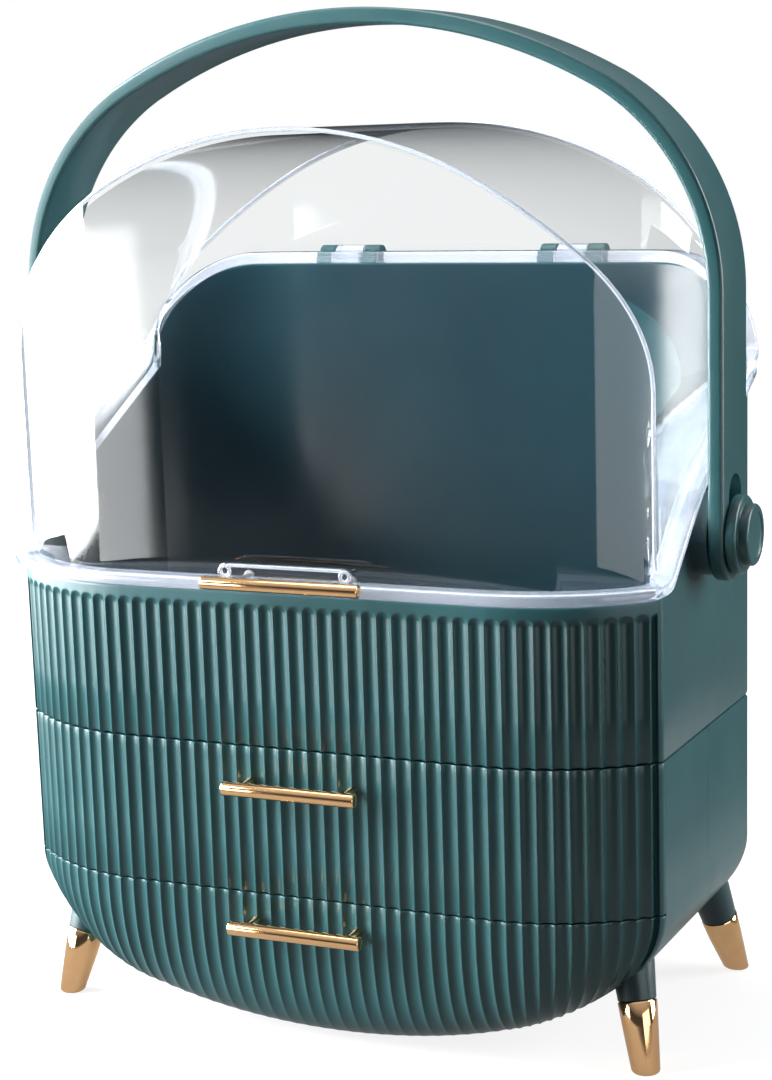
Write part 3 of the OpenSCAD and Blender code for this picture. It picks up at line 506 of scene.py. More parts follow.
def bowl_half(run, turn, inset):
    """Front half of one ring of the bowl at the angle turn, from 0 at the seam to a quarter turn underneath.

    In the middle it draws in by bowl_inset * (1 - cos^f) and drops by sin^f, with f the fullness, and at the
    corner it follows the ellipse of the keel line. The square of the share along the corner blends the two.
    """
    blend = stretches(run)[1] ** 2
    keel = turn / (np.pi / 2) * keel_turn
    draw = (1 - blend) * bowl_inset * (1 - np.cos(turn) ** bowl_fullness)
    draw = draw + blend * body_half * (1 - np.cos(keel))
    share = (1 - blend) * np.sin(turn) ** bowl_fullness + blend * np.sin(keel) / np.sin(keel_turn)
    low_x = outline(run, bowl_inset)[0]
    drop = bowl_drop * np.sqrt(1 - (low_x / body_half) ** 2) - inset
    x, y = outline(run, draw + inset)[:2]
    return np.column_stack([x, y, seam_low - gap_half - drop * share + gap_half * share])


def grid_normals(grid):
    """Outward unit normals of a grid of points, from the cross product of its two gradients."""
    normal = np.cross(np.gradient(grid, axis=1), np.gradient(grid, axis=0))
    normal = normal / np.maximum(np.linalg.norm(normal, axis=2, keepdims=True), 1e-12)
    facing = np.sign((normal * [0, -1, -0.2]).sum(axis=2, keepdims=True))
    return normal * np.where(facing == 0, 1, facing)


# the flutes grow shallow towards the underside, and the bowl's lower edge is smooth
fade_from, fade_long, fade_most = 0.25, 0.72, 0.92
quarter = (np.linspace(0, 1, 40) ** 1.2) * np.pi / 2
bowl_grid = np.array([bowl_half(fine_run, turn, 0.0) for turn in quarter])
lowered = (seam_low - bowl_grid[:, :, 2]) / bowl_drop
fade = np.clip((lowered - fade_from) / fade_long, 0, 1)
bowl_dents = flute_dent(fine_run) * (1 - fade_most * fade ** 2 * (3 - 2 * fade))
fluted_grid = bowl_grid - grid_normals(bowl_grid) * bowl_dents[:, :, None]
lower_rings = [ring_of(front, full) for front, full in zip(fluted_grid, bowl_grid)][:0:-1]
lower_rings += top_edge(seam_low - gap_half, 3)
front_piece("lower_front_shell", lower_rings, "lower_drawer", "lower_drawer_front")

# ------------ lower casing
# The tub below the upper casing: one moulding with smooth side and back walls round the drawers, and the bowl
# that carries the legs. Its front is open for the drawers. A shelf with guides and runners parts the two.
casing_front_y = -0.057
shelf_in = 0.0014
shelf_thick = 0.003


def plain_lengths(on_flat, on_arc, on_fillet, on_side):
    """Signed lengths along the front half of the plan, with that many points on each of its stretches.

    The fillet's points begin at fillet_from and run a little past it on to the side, and the last length lies
    beyond the side's end, where the plan stops.
    """
    fillet_from, side_from, side_to = 0.1515, 0.159, 0.2153
    hand = joined([np.linspace(corner_x, fillet_from, on_arc), np.linspace(fillet_from, side_from, on_fillet),
                   np.linspace(side_from, side_to, on_side)])
    return joined([-hand[::-1], np.linspace(-corner_x, corner_x, on_flat), hand])


plain_run = plain_lengths(20, 20, 9, 12)


def plain_ring(inset, height):
    """A smooth closed ring of the plan at one height."""
    line = plan_line(plain_run, inset, height)
    return ring_of(line, line)


def bowl_ring(turn, inset):
    """A smooth closed ring of the bowl."""
    line = bowl_half(plain_run, turn, inset)
    return ring_of(line, line)


tub_turns = np.linspace(np.pi / 2, 0.04, 22)
tub_high = seam_high - gap_half
tub_rings = [bowl_ring(turn, 0.0) for turn in tub_turns]
tub_rings += [plain_ring(inset, z) for inset, z in [
    (0.0, seam_low), (0.0, tub_high - casing_edge), (casing_edge, tub_high), (shell_wall, tub_high),
    (shell_wall, seam_low)]]
tub_rings += [bowl_ring(turn, shell_wall) for turn in tub_turns[::-1]]
tub = piece_of("casing_tub", np.concatenate(tub_rings), tub_faces(tub_rings), teal, "base", "shell_green",
               50)
cut_behind(tub.data, casing_front_y, False)
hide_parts("lower_casing")

shelf_rings = [plain_ring(shelf_in, z) for z in (seam_low, seam_low + shelf_thick)]
shelf = piece_of("drawer_shelf", np.concatenate(shelf_rings), tub_faces(shelf_rings), teal_dark, "base",
                 "shell_green", 50)
cut_behind(shelf.data, casing_front_y, False)


def block(low, high):
    """Points and faces of a box between two corners."""
    upper = np.indices((2, 2, 2)).reshape(3, 8).T[:, ::-1] > 0
    points = np.where(upper, high, low)
    return points, [(0, 2, 3, 1), (4, 5, 7, 6), (0, 1, 5, 4), (2, 6, 7, 3), (0, 4, 6, 2), (1, 3, 7, 5)]


def merged(parts):
    """Several pairs of points and faces put into one."""
    faces, first = [], 0
    for points, some in parts:
        faces += [[corner + first for corner in face] for face in some]
        first += len(points)
    return np.concatenate([points for points, _ in parts]), faces


def softened(piece, width, segments=2, harden=True):
    """Rounds the piece's sharp edges a little, as a mould leaves them."""
    edge = piece.modifiers.new("edge", "BEVEL")
    edge.width = width
    edge.segments = segments
    edge.limit_method = "ANGLE"
    edge.harden_normals = harden


# two guide ribs on the shelf, and under it the two webs and two runners of the lower drawer
fittings = []
for middle, half_thick, y_low, y_high, z_low, z_high in [
        (0.1274, 0.0010, -0.0490, 0.068, 0.0700, 0.0770),
        (0.1060, 0.0012, -0.0565, 0.050, 0.0260, 0.0685),
        (0.0660, 0.0015, -0.0530, 0.050, 0.0115, 0.0296)]:
    fittings += [block((x - half_thick, y_low, z_low), (x + half_thick, y_high, z_high))
                 for x in (-middle, middle)]
rails = piece_of("drawer_rails", *merged(fittings), teal_dark, "base", "shell_green", 30)
softened(rails, 0.0004)

# ------------ drawer boxes, spacers, bushes and screws
# Plain moulded boxes and spacers of darker plastic, and turned screws, pins, nuts and bushes of zinc-plated
# steel. Their modelled shape is right as it is, so they only take their finish.


def metal(name, low, high, grain, detail, rough_low, rough_high):
    """Plated metal: two near tones and an uneven gloss, which follow one noise of that grain and detail."""
    material, tree = empty_material(name)
    smears = noise_of(tree, grain, detail)
    tone = ramp_of(tree, smears, [(0.3, low), (0.7, high)])
    gloss = between(tree, smears, rough_low, rough_high)
    surface = node_of(tree, "ShaderNodeBsdfPrincipled", {
        "Base Color": tone, "Roughness": gloss, "Metallic": 1.0})
    node_of(tree, "ShaderNodeOutputMaterial", {"Surface": surface.outputs[0]})
    return material


steel = metal("zinc_steel", (0.50, 0.50, 0.52), (0.62, 0.62, 0.63), 700.0, 3.0, 0.25, 0.42)
dark_nodes = ["upper_drawer_box", "lower_drawer_box", "left_spacer", "right_spacer"]
steel_nodes = ["casing_screws", "lid_grip_screws", "hinge_pins", "upper_pull_screws", "upper_front_screws",
               "lower_pull_screws", "lower_front_screws", "leg_screws", "left_slot_bush", "right_slot_bush",
               "left_pivot_pin", "right_pivot_pin", "pivot_nuts"]
for name in dark_nodes + steel_nodes:
    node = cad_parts[name]
    node.data.materials.clear()
    node.data.materials.append(teal_dark if name in dark_nodes else steel)

# ------------ gold bars
# Round metal bars with softly rounded ends, plated in polished rose gold. Each stands on two short posts,
# into which screws go from behind.
post_x, post_r, bar_edge, post_edge = 0.023, 0.0021, 0.0008, 0.0002
gold_tone = (0.90, 0.54, 0.27)
gold = metal("rose_gold", tuple(0.93 * c for c in gold_tone), gold_tone, 120.0, 2.0, 0.05, 0.11)


def tube_faces(rings, around):
    """Faces of a closed solid from a stack of rings: the quads between them, and one face across each end."""
    faces = ring_faces(rings, around).tolist()
    return faces + [list(range(around))[::-1], list(range((rings - 1) * around, rings * around))]


def bend_of(centre, radius, degrees):
    """Points of a circle about a centre, at the given angles."""
    turn = np.radians(degrees)
    return np.array(centre) + radius * np.column_stack([np.cos(turn), np.sin(turn)])


def lathe(profile, place, axis, count=48):
    """Closed turned solid: the profile's (radius, along) points spun about an axis from a place.

    A point lies at place + radius * (cos * side + sin * other) + along * axis, where side and other are the
    two unit vectors square to the axis. One face closes each end.
    """
    axis = np.array(axis, float) / np.linalg.norm(axis)
    side = np.cross(axis, [0.0, 0.0, 1.0] if abs(axis[2]) < 0.9 else [1.0, 0.0, 0.0])
    side /= np.linalg.norm(side)
    angle = np.arange(count) / count * 2 * np.pi
    spoke = np.cos(angle)[:, None] * side + np.sin(angle)[:, None] * np.cross(axis, side)
    profile = np.asarray(profile, float)
    points = profile[:, :1, None] * spoke[None] + (profile[:, 1:2, None] * axis)
    return points.reshape(-1, 3) + np.array(place, float), tube_faces(len(profile), count)


def rounded_rod(radius, length, edge):
    """Profile of a rod of that radius and length whose two end edges are rounded by the radius edge."""
    return np.concatenate([bend_of((radius - edge, edge), edge, [-90, -68, -45, -22, 0]),
                           bend_of((radius - edge, length - edge), edge, [0, 22, 45, 68, 90])])


for name, node, body, radius in [
        ("upper_bar", "upper_pull_bar", "upper_drawer", 0.003),
        ("lower_bar", "lower_pull_bar", "lower_drawer", 0.003),
        ("lid_bar", "lid_grip_bar", "lid", 0.0027)]:
    low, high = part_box(node)
    y, z = low.y + radius, (low.z + high.z) / 2
    rod = lathe(rounded_rod(radius, high.x - low.x, bar_edge), (low.x, y, z), (1, 0, 0))
    posts = [lathe(rounded_rod(post_r, high.y - y, post_edge), (x, y, z), (0, 1, 0), 32)
             for x in (-post_x, post_x)]
    bar = piece_of(name, *merged([rod] + posts), gold, body, "rose_gold", 40)
    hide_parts(node)

# ------------ screw posts, screw sinks and hinges
# Four plastic posts carry the screws that join the casings, whose heads lie sunk in the tray's floor. Two
# hinges of three knuckles stand behind the back wall: the outer ones are moulded on the casing.
screw_places = [(x, y) for x in (-0.1377, 0.1377) for y in (-0.047, 0.047)]
screw_post_r, screw_post_low, screw_post_long, screw_post_edge = 0.005, 0.0704, 0.0600, 0.0003
sink_r, sink_low, sink_deep = 0.0032, 0.1323, 0.006
screw_posts = [lathe(rounded_rod(screw_post_r, screw_post_long, screw_post_edge), (x, y, screw_post_low),
                     (0, 0, 1), 40) for x, y in screw_places]
piece_of("casing_posts", *merged(screw_posts), teal_dark, "base", "shell_green", 40)


def carved(piece, points, faces, sharp):
    """Takes the closed shape of the points and faces out of the piece for good."""
    shape = bpy.data.meshes.new("cutter")
    shape.from_pydata(points.tolist(), [], faces)
    cutter = bpy.data.objects.new("cutter", shape)
    scene.collection.objects.link(cutter)
    cut = piece.modifiers.new("cut", "BOOLEAN")
    cut.operation = "DIFFERENCE"
    cut.solver = "EXACT"
    cut.object = cutter
    bpy.context.view_layer.update()
    cut_mesh = bpy.data.meshes.new_from_object(piece.evaluated_get(bpy.context.evaluated_depsgraph_get()))
    piece.modifiers.remove(cut)
    piece.data = cut_mesh
    shaded(cut_mesh, sharp)
    bpy.data.objects.remove(cutter)


sinks = [lathe([(sink_r, 0.0), (sink_r, sink_deep)], (x, y, sink_low), (0, 0, 1), 40)
         for x, y in screw_places]
carved(casing, *merged(sinks), 50)


def extruded(line, x_low, x_high):
    """A closed solid between two planes of X from a closed line of (y, z) points."""
    points = np.concatenate([np.column_stack([np.full(len(line), x), line]) for x in (x_low, x_high)])
    return points, tube_faces(2, len(line))


hinge_x, hinge_y, hinge_z = 0.055, 0.094, 0.319
knuckle_r, knuckle_half, knuckle_away = 0.005, 0.004, 0.0113
bracket_y = 0.0872

# the casing's knuckle is round above and runs down into a bracket on the wall
knuckle_round = bend_of((hinge_y, hinge_z), knuckle_r, np.linspace(-30, 180, 29))
bracket_line = np.concatenate([
    [[bracket_y, 0.307], [0.0950, 0.310]], knuckle_round, [[bracket_y, hinge_z]]])
knuckle_middles = [side * hinge_x + end * knuckle_away for side in (-1, 1) for end in (-1, 1)]
knuckles = [extruded(bracket_line, x - knuckle_half, x + knuckle_half) for x in knuckle_middles]
brackets = piece_of("casing_knuckles", *merged(knuckles), teal, "base", "shell_green", 35)
softened(brackets, 0.0006)

# ------------ legs and end caps
# Four splayed legs of dark green plastic that plug into the bowl and are screwed there, each with a tapered
# cap, plated in rose gold, that stands flat on the floor.
foot_x, front_foot_y, back_foot_y = 0.136, -0.057, 0.072
lean_x, front_lean, back_lean = 0.20, 0.22, 0.36
cap_foot_r, cap_foot_edge, cap_long = 0.0060, 0.0016, 0.029
leg_r, leg_straight, leg_top = 0.0090, 0.044, 0.0556
leg_sides = 64
axis_r = 0.0001
level_high = 0.016


def levelled(points):
    """Turned points whose lowest rings are tipped level, so that a leaning leg stands flat on the floor.

    Each ring's heights keep the share 3 s^2 - 2 s^3 of their tilt, with s its height over level_high.
    """
    rings = points.reshape(-1, leg_sides, 3).copy()
    middle = rings[:, :, 2:].mean(axis=1, keepdims=True)
    rise = np.clip(middle / level_high, 0, 1)
    rings[:, :, 2:] = middle + (rings[:, :, 2:] - middle) * rise ** 2 * (3 - 2 * rise)
    return rings.reshape(-1, 3)


foot_round = bend_of((cap_foot_r - cap_foot_edge, cap_foot_edge), cap_foot_edge, np.linspace(-90, 0, 7))
cap_shape = np.concatenate([[[axis_r, 0.0]], foot_round, [
    [0.0066, 0.009], [0.0074, 0.019], [0.0081, cap_long - 0.0006], [0.0078, cap_long], [axis_r, cap_long]]])
leg_shape = [[axis_r, cap_long + 0.0001], [0.0073, cap_long + 0.0001], [0.0079, cap_long + 0.0006],
             [leg_r, leg_straight], [leg_r, leg_top], [axis_r, leg_top]]
for hand, across in (("left", -1), ("right", 1)):
    for end, foot_y, lean in (("front", front_foot_y, front_lean), ("back", back_foot_y, back_lean)):
        foot = (across * foot_x, foot_y, 0)
        way = (-across * lean_x, -np.sign(foot_y) * lean, 1.0)
        points, faces = lathe(cap_shape, foot, way, leg_sides)
        cap = piece_of(f"{end}_{hand}_foot_cap", levelled(points), faces, gold, "base", "rose_gold", 40)
        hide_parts(f"{end}_{hand}_cap")
        stem = lathe(leg_shape, foot, way, leg_sides)
        leg = piece_of(f"{end}_{hand}_stem", *stem, teal_dark, "base", "shell_green", 40)
        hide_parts(f"{end}_{hand}_leg")

# ------------ clear lid
# One clear moulding: bowed front and back walls under an arched roof that meets them in a crisp edge. Its
# flange follows the casing's rim, and two tongues on it carry the lid's hinge knuckles.
lid_inset = 0.003
lid_wall = 0.0025
lid_half = body_half - lid_inset
lid_depth_r = corner_r - lid_inset
lid_top = 0.379
shoulder_z, shoulder_r = 0.276, 0.075
crown_crease = 0.0007
flange_low, flange_thick, flange_out = 0.0003, 0.005, 0.0045
flange_outer_r, flange_inner_r = 0.0016, 0.0006


def clear(name, tint, edge_tint, rough):
    """Clear solid plastic: light goes through and bends, darker along its round edges, with uneven gloss."""
    material, tree = empty_material(name)
    gloss = between(tree, noise_of(tree, 18.0, 1.0), rough * 0.6, rough * 1.4)
    aslant = node_of(tree, "ShaderNodeLayerWeight", {"Blend": 0.4})
    tone = ramp_of(tree, aslant.outputs["Facing"], [(0.0, tint), (0.5, tint), (0.9, edge_tint)])
    surface = node_of(tree, "ShaderNodeBsdfPrincipled", {
        "Base Color": tone, "Roughness": gloss, "Transmission Weight": 0.8, "IOR": 1.47})
    node_of(tree, "ShaderNodeOutputMaterial", {"Surface": surface.outputs[0]})
    return material


def clear_sheet(name, face_on, aslant_tone, edge_tone):
    """Thin clear plastic: light goes straight through, dims where it passes aslant, and glints.

    Both faces of the sheet glint, so the outer one shows more than its own share and the inner one none.
    """
    material, tree = empty_material(name)
    gloss = between(tree, noise_of(tree, 12.0, 1.0), 0.03, 0.08)
    aslant = node_of(tree, "ShaderNodeLayerWeight", {"Blend": 0.35})
    tone = ramp_of(tree, aslant.outputs["Facing"], [
        (0.0, face_on), (0.6, face_on), (0.88, aslant_tone), (1.0, edge_tone)])
    through = node_of(tree, "ShaderNodeBsdfTransparent", {"Color": tone})
    glint = node_of(tree, "ShaderNodeBsdfPrincipled", {
        "Base Color": (0.95, 0.97, 0.98, 1), "Metallic": 1.0, "Roughness": gloss})
    bounce = node_of(tree, "ShaderNodeFresnel", {"IOR": 1.46})
    both_faces = node_of(tree, "ShaderNodeMath", operation="MULTIPLY", use_clamp=True, inputs={
        0: bounce.outputs[0], 1: 1.25})
    facing_out = node_of(tree, "ShaderNodeMath", operation="SUBTRACT", inputs={
        0: 1.0, 1: node_of(tree, "ShaderNodeNewGeometry").outputs["Backfacing"]})
    share = node_of(tree, "ShaderNodeMath", operation="MULTIPLY", inputs={
        0: both_faces.outputs[0], 1: facing_out.outputs[0]})
    mixed = node_of(tree, "ShaderNodeMixShader", {
        0: share.outputs[0], 1: through.outputs[0], 2: glint.outputs[0]})
    node_of(tree, "ShaderNodeOutputMaterial", {"Surface": mixed.outputs[0]})
    return material


lid_clear = clear_sheet("clear_lid_plastic", (0.985, 0.990, 0.990), (0.86, 0.88, 0.885), (0.36, 0.41, 0.43))
flange_clear = clear("clear_flange_plastic", (0.74, 0.79, 0.88), (0.16, 0.20, 0.25), 0.12)


def clear_piece(name, points, faces, material, sharp):
    """A clear piece of the lid, which throws no shadow."""
    piece = piece_of(name, points, faces, material, "lid", "clear_plastic", sharp)
    piece.visible_shadow = False
    return piece


def mended(piece, apart, sharp, lowest=None):
    """Merges points that lie closer than apart, turns all faces outwards and drops faces without area.

    Before that last step, points below the lowest height at their x and y are lifted on to it.
    """
    mesh = piece.data
    work = bmesh.new()
    work.from_mesh(mesh)
    bmesh.ops.remove_doubles(work, verts=work.verts, dist=apart)
    bmesh.ops.recalc_face_normals(work, faces=work.faces)
    if lowest is not None:
        work.to_mesh(mesh)
        spots = np.zeros(3 * len(mesh.vertices))
        mesh.vertices.foreach_get("co", spots)
        x, y, z = spots.reshape(-1, 3).T
        mesh.vertices.foreach_set("co", np.column_stack([x, y, np.maximum(z, lowest(x, y))]).ravel())
        work.clear()
        work.from_mesh(mesh)
    bmesh.ops.dissolve_degenerate(work, dist=apart, edges=work.edges)
    work.to_mesh(mesh)
    work.free()
    shaded(mesh, sharp)


def flange_top(x, y):
    """Height of the flange's upper face at x and y, below which the dome doesn't reach."""
    return rim_height(x, y) + flange_low + flange_thick


def lid_half_depth(x):
    """Half depth of the lid at x: straight up to corner_x and then a round corner."""
    past = np.clip(np.abs(x) - corner_x, 0, lid_depth_r)
    return np.sqrt(lid_depth_r ** 2 - past ** 2)


def crown_of(x, rise, bend_r):
    """Radius and turn of the wide crown arc that runs into a shoulder of radius bend_r.

    The shoulder's centre lies x from the middle and rise below the top. The tangent circle has the radius
    (x^2 + rise^2 - bend_r^2) / (2 (rise - bend_r)), and a crease makes the crown a hair tighter.
    """
    radius = (x * x + rise * rise - bend_r ** 2) / (2 * (rise - bend_r)) - crown_crease
    return radius, np.arctan2(x, radius - rise)


def arch_profile(low, on_side, on_shoulder, on_crown):
    """Points (x, z) of the lid's arch from the height low at the left, over the crown, to low at the right.

    Straight sides, round shoulders of shoulder_r, and one wide crown arc that nearly runs smoothly into them.
    """
    x = lid_half - shoulder_r
    crown_r, turn = crown_of(x, lid_top - shoulder_z, shoulder_r)
    side = np.column_stack([np.full(on_side, lid_half), np.linspace(low, shoulder_z, on_side)])
    around = np.linspace(np.pi / 2, turn, on_shoulder)
    shoulder = np.column_stack([x + shoulder_r * np.sin(around), shoulder_z + shoulder_r * np.cos(around)])
    over = np.linspace(turn, 0, on_crown)
    crown = np.column_stack([crown_r * np.sin(over), lid_top - crown_r + crown_r * np.cos(over)])
    right = np.concatenate([side[:-1], shoulder[:-1], crown])
    return np.concatenate([right * [-1, 1], right[::-1][1:]])


# the dome is one sheet: the arched band from front to back, and the walls that hang from its two edges. What
# would reach below the flange is lifted on to it, and the sheet gets its thickness inwards
dome_low = 0.16
arch = arch_profile(dome_low, 2, 26, 34)
arch_depth = lid_half_depth(arch[:, 0])
across = np.linspace(-1, 1, 13)
down = np.linspace(0, 1, 14)[:, None]
band = np.stack(np.broadcast_arrays(arch[:, :1], arch_depth[:, None] * across, arch[:, 1:]), axis=-1)
front_wall, back_wall = [np.stack(np.broadcast_arrays(
    arch[:, 0], way * arch_depth, arch[:, 1] + (dome_low - arch[:, 1]) * down), axis=-1) for way in (-1, 1)]
wall_quads = ring_faces(len(down), len(arch), False)
dome_points = np.concatenate([grid.reshape(-1, 3) for grid in (band, front_wall, back_wall)])
dome_faces = np.concatenate([
    ring_faces(len(arch), len(across), False), wall_quads + band[..., 0].size,
    wall_quads[:, ::-1] + band[..., 0].size + front_wall[..., 0].size])
dome = clear_piece("lid_dome", dome_points, dome_faces, lid_clear, 30)
mended(dome, 1e-6, 30, flange_top)
solid = dome.modifiers.new("wall", "SOLIDIFY")
solid.thickness = lid_wall
solid.offset = -1
solid.use_even_offset = True
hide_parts("clear_lid")

rim_run = plain_lengths(40, 40, 12, 40)


def rim_ring(out, lift):
    """A closed ring that follows the casing's rim, moved out and lifted, which is the path of the flange."""
    x, y, _ = plan_line(rim_run, 0.0, 0.0).T
    return ring_of(plan_line(rim_run, -out, rim_height(x, y) + lift),
                   plan_line(rim_run, -out, rim_height(x, -y) + lift))


# the flange's section is a bar with two well rounded outer edges and two crisper inner ones
flange_in = lid_inset + lid_wall
bends = [
    (flange_out - flange_outer_r, flange_low + flange_outer_r, flange_outer_r, -90),
    (flange_out - flange_outer_r, flange_low + flange_thick - flange_outer_r, flange_outer_r, 0),
    (flange_inner_r - flange_in, flange_low + flange_thick - flange_inner_r, flange_inner_r, 90),
    (flange_inner_r - flange_in, flange_low + flange_inner_r, flange_inner_r, 180)]
section = np.concatenate([bend_of((out, lift), bend_r, first + np.linspace(0, 90, 6))
                          for out, lift, bend_r, first in bends])
flange_rings = np.array([rim_ring(*place) for place in section])
flange_faces = ring_faces(len(section) + 1, flange_rings.shape[1]) % (len(section) * flange_rings.shape[1])
flange = clear_piece("lid_flange", flange_rings.reshape(-1, 3), flange_faces, flange_clear, 60)
mended(flange, 1e-7, 60)


def bead(path, radius, sides):
    """A closed round rod along a path that lies across Y: rings of radius square to the path's own run."""
    run = np.gradient(path, axis=0)
    run /= np.linalg.norm(run, axis=1, keepdims=True)
    out = np.cross(run, [0.0, 1.0, 0.0])
    out /= np.linalg.norm(out, axis=1, keepdims=True)
    other = np.cross(run, out)
    angle = (np.arange(sides) / sides * 2 * np.pi)[None, :, None]
    tube = path[:, None] + radius * (np.cos(angle) * out[:, None] + np.sin(angle) * other[:, None])
    return tube.reshape(-1, 3), tube_faces(len(path), sides)


# the crisp edges where the arch meets the front and back walls catch the light as bright lines
bead_r = 0.0009
edge_arch = arch_profile(0.18, 8, 40, 60)
edge_arch = edge_arch[edge_arch[:, 1] > 0.2005]
edge_depth = lid_half_depth(edge_arch[:, 0]) - bead_r
beads = []
for way in (-1, 1):
    path = np.column_stack([
        edge_arch[:, 0] * (1 - 0.0006 / lid_half), way * edge_depth, edge_arch[:, 1] - 0.0004])
    path = path[path[:, 2] > rim_height(path[:, 0], path[:, 1]) + flange_thick + 0.0002]
    beads.append(bead(path, bead_r, 10))
clear_piece("lid_edges", *merged(beads), flange_clear, 60)

# the lid's two knuckles, each on a tongue from the flange
tongue_half = 0.007
tongue_round = bend_of((hinge_y, hinge_z), knuckle_r, np.linspace(-142.5, 150, 40))
tongue = np.concatenate([[[0.0862, 0.3166], [0.0905, 0.3166]], tongue_round, [[0.0862, 0.3212]]])
tongues = [extruded(tongue, x - tongue_half, x + tongue_half) for x in (-hinge_x, hinge_x)]
lid_knuckles = clear_piece("lid_knuckles", *merged(tongues), flange_clear, 35)
softened(lid_knuckles, 0.0005)

# ------------ tab of the lid
# A clear plate that stands up from the front of the flange with two round corners. The lid's gold bar is
# screwed to it.
tab_r = 0.004
low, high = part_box("lid_grip_tab")
tab_line = np.concatenate([
    [[low.x, low.z], [high.x, low.z]],
    bend_of((high.x - tab_r, high.z - tab_r), tab_r, np.linspace(0, 90, 9)),
    bend_of((low.x + tab_r, high.z - tab_r), tab_r, np.linspace(90, 180, 9))])
tab_count = len(tab_line)
tab_points = np.concatenate([np.column_stack([tab_line[:, 0], np.full(tab_count, y), tab_line[:, 1]])
                             for y in (low.y, high.y)])
tab_faces = [face[::-1] for face in tube_faces(2, tab_count)]
tab = clear_piece("lid_tab", tab_points, tab_faces, lid_clear, 40)
softened(tab, 0.0007, 3, False)
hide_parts("lid_grip_tab")

# two small eyes at its upper corners, and a bead along its top
eye_r, eye_wire_r, eye_in, eye_out = 0.0020, 0.0007, 0.0034, 0.0003
eye_line = bend_of((eye_r, 0), eye_wire_r, np.linspace(0, 360, 25)[:-1])
eye_faces = (ring_faces(25, 28) % (24 * 28)).tolist()
trim = [(lathe(eye_line, (x, low.y + eye_out, high.z - eye_in), (0, -1, 0), 28)[0], eye_faces)
        for x in (low.x + eye_in, high.x - eye_in)]
trim.append(lathe(rounded_rod(eye_wire_r, high.x - low.x - 0.009, 0.0004),
                  (low.x + 0.0045, low.y + eye_out, high.z - 0.0011), (1, 0, 0), 20))
clear_piece("lid_tab_eyes", *merged(trim), flange_clear, 40)

# ------------ handle
# A flat band of the teal plastic bent over the lid, with rounded edges. Each leg ends in a half circle and
# has a slot that runs on the pivot's bush.
handle_half, handle_top = 0.159, 0.426
handle_thick, handle_width = 0.0065, 0.034
handle_bend_z, handle_bend_r = 0.311, 0.100
pivot_y, pivot_z = -0.008, 0.214
handle_end = pivot_z - 0.002
slot_r, slot_travel = 0.0085, 0.016
band_r = 0.0016


def handle_line():
    """Middle line (x, z) and outward normal of the handle: straight legs, round shoulders and a wide crown.

    The half circles at its ends take steps by the sine of an even share, which are closest at the tips.
    """
    x = handle_half - handle_bend_r
    crown_r, turn = crown_of(x, handle_top - handle_bend_z, handle_bend_r)
    tip = handle_end + handle_width / 2 * np.sin(np.linspace(-1, 0, 18) * np.pi / 2)
    leg = np.concatenate([tip, np.linspace(handle_end, handle_bend_z, 24)[1:-1]])
    shoulder = np.linspace(np.pi / 2, turn, 34)[:-1]
    crown = np.linspace(turn, 0, 26)
    right = np.concatenate([
        np.column_stack([np.full(len(leg), handle_half), leg, np.ones(len(leg)), np.zeros(len(leg))]),
        np.column_stack([
            x + handle_bend_r * np.sin(shoulder), handle_bend_z + handle_bend_r * np.cos(shoulder),
            np.sin(shoulder), np.cos(shoulder)]),
        np.column_stack([crown_r * np.sin(crown), handle_top - crown_r + crown_r * np.cos(crown),
                         np.sin(crown), np.cos(crown)])])
    return np.concatenate([right * [-1, 1, -1, 1], right[::-1][1:]])


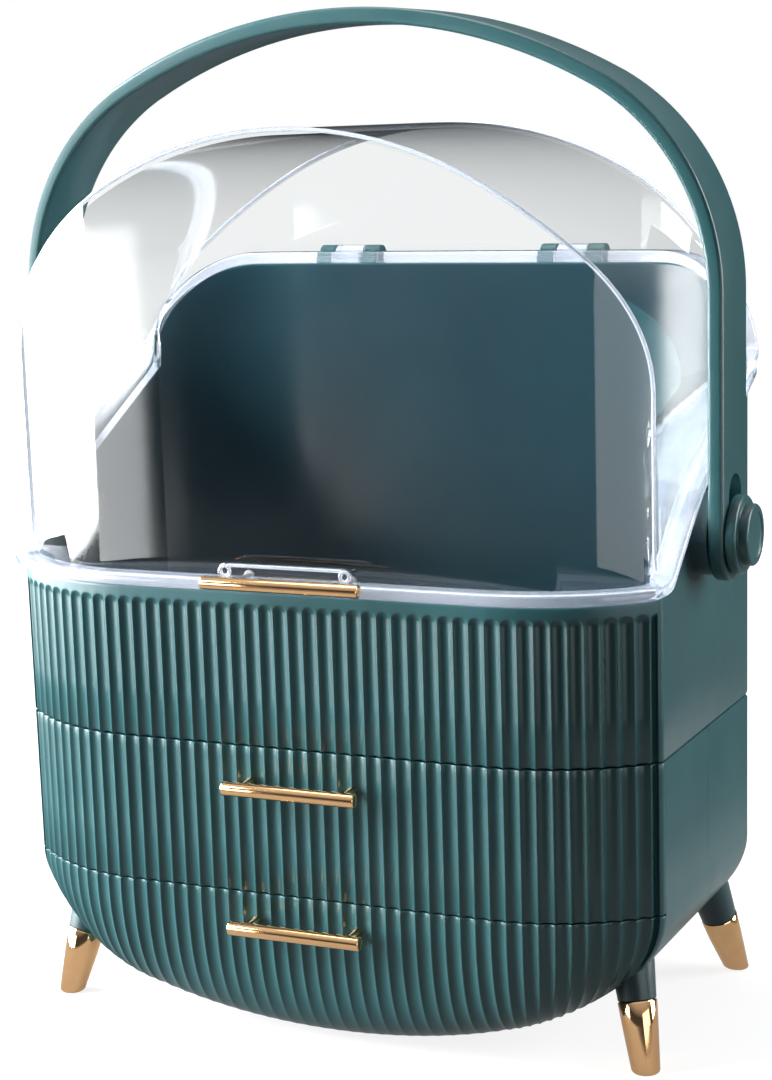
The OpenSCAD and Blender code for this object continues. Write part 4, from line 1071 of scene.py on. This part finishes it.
# the band's section goes round its four rounded corners, and its half width shrinks round the tips
line = handle_line()
below = np.clip(handle_end - line[:, 1], 0, handle_width / 2)
half_wide = np.sqrt(np.maximum((handle_width / 2) ** 2 - below ** 2, 0.0012 ** 2))
corner = np.arange(4)[:, None]
corner_turn = np.radians(90 - 90 * corner - np.linspace(0, 90, 6))
corner_depth = np.where((corner == 0) | (corner == 3), -band_r, band_r - handle_thick)
depth = (corner_depth + band_r * np.sin(corner_turn)).ravel()
way = np.repeat([1, 1, -1, -1], 6)
edge_in = (band_r - band_r * np.abs(np.cos(corner_turn))).ravel()
x, z, out_x, out_z = line.T[:, :, None]
handle_grid = np.stack([x + out_x * depth, pivot_y + way * (half_wide[:, None] - edge_in), z + out_z * depth],
                       axis=-1)
handle = piece_of("handle_band", handle_grid.reshape(-1, 3), tube_faces(len(line), 24), teal, "handle",
                  "shell_green", 40)
mended(handle, 1e-7, 40)

slot_line = np.concatenate([
    bend_of((pivot_y, pivot_z + slot_travel), slot_r, np.linspace(0, 180, 25)),
    bend_of((pivot_y, pivot_z), slot_r, np.linspace(180, 360, 25))])
carved(handle, *extruded(slot_line, -0.2, 0.2), 40)
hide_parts("carry_handle")

# ------------ pivot knobs
# Round stepped knobs of the same plastic that are pressed on the pivot pins and close them, with softly
# rounded edges and a shallow dish in the face.
knob_edge, knob_step, knob_face_in = 0.0012, 0.0042, 0.0034
dish_in, dish_deep = 0.0028, 0.0009
for hand, way in (("left", -1), ("right", 1)):
    low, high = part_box(f"{hand}_pivot_knob")
    knob_r, knob_thick = (high.z - low.z) / 2, high.x - low.x
    face_r = knob_r - knob_face_in
    base_edge, face_edge = [
        bend_of((radius - knob_edge, along - knob_edge), knob_edge, [0, 30, 60, 90])
        for radius, along in ((knob_r, knob_step), (face_r, knob_thick))]
    shape = np.concatenate([
        [[axis_r, 0.0], [knob_r - 0.0004, 0.0], [knob_r, 0.0004]], base_edge,
        [[face_r + 0.0004, knob_step], [face_r, knob_step + 0.0004]], face_edge,
        [[face_r - dish_in, knob_thick], [face_r - dish_in - 0.0006, knob_thick - 0.0005],
         [axis_r, knob_thick - dish_deep]]])
    start = low.x if way > 0 else high.x
    turned_knob = lathe(shape, (start, pivot_y, pivot_z), (way, 0, 0), 96)
    knob = piece_of(f"{hand}_knob", *turned_knob, teal, "base", "shell_green", 35)
    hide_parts(f"{hand}_pivot_knob")
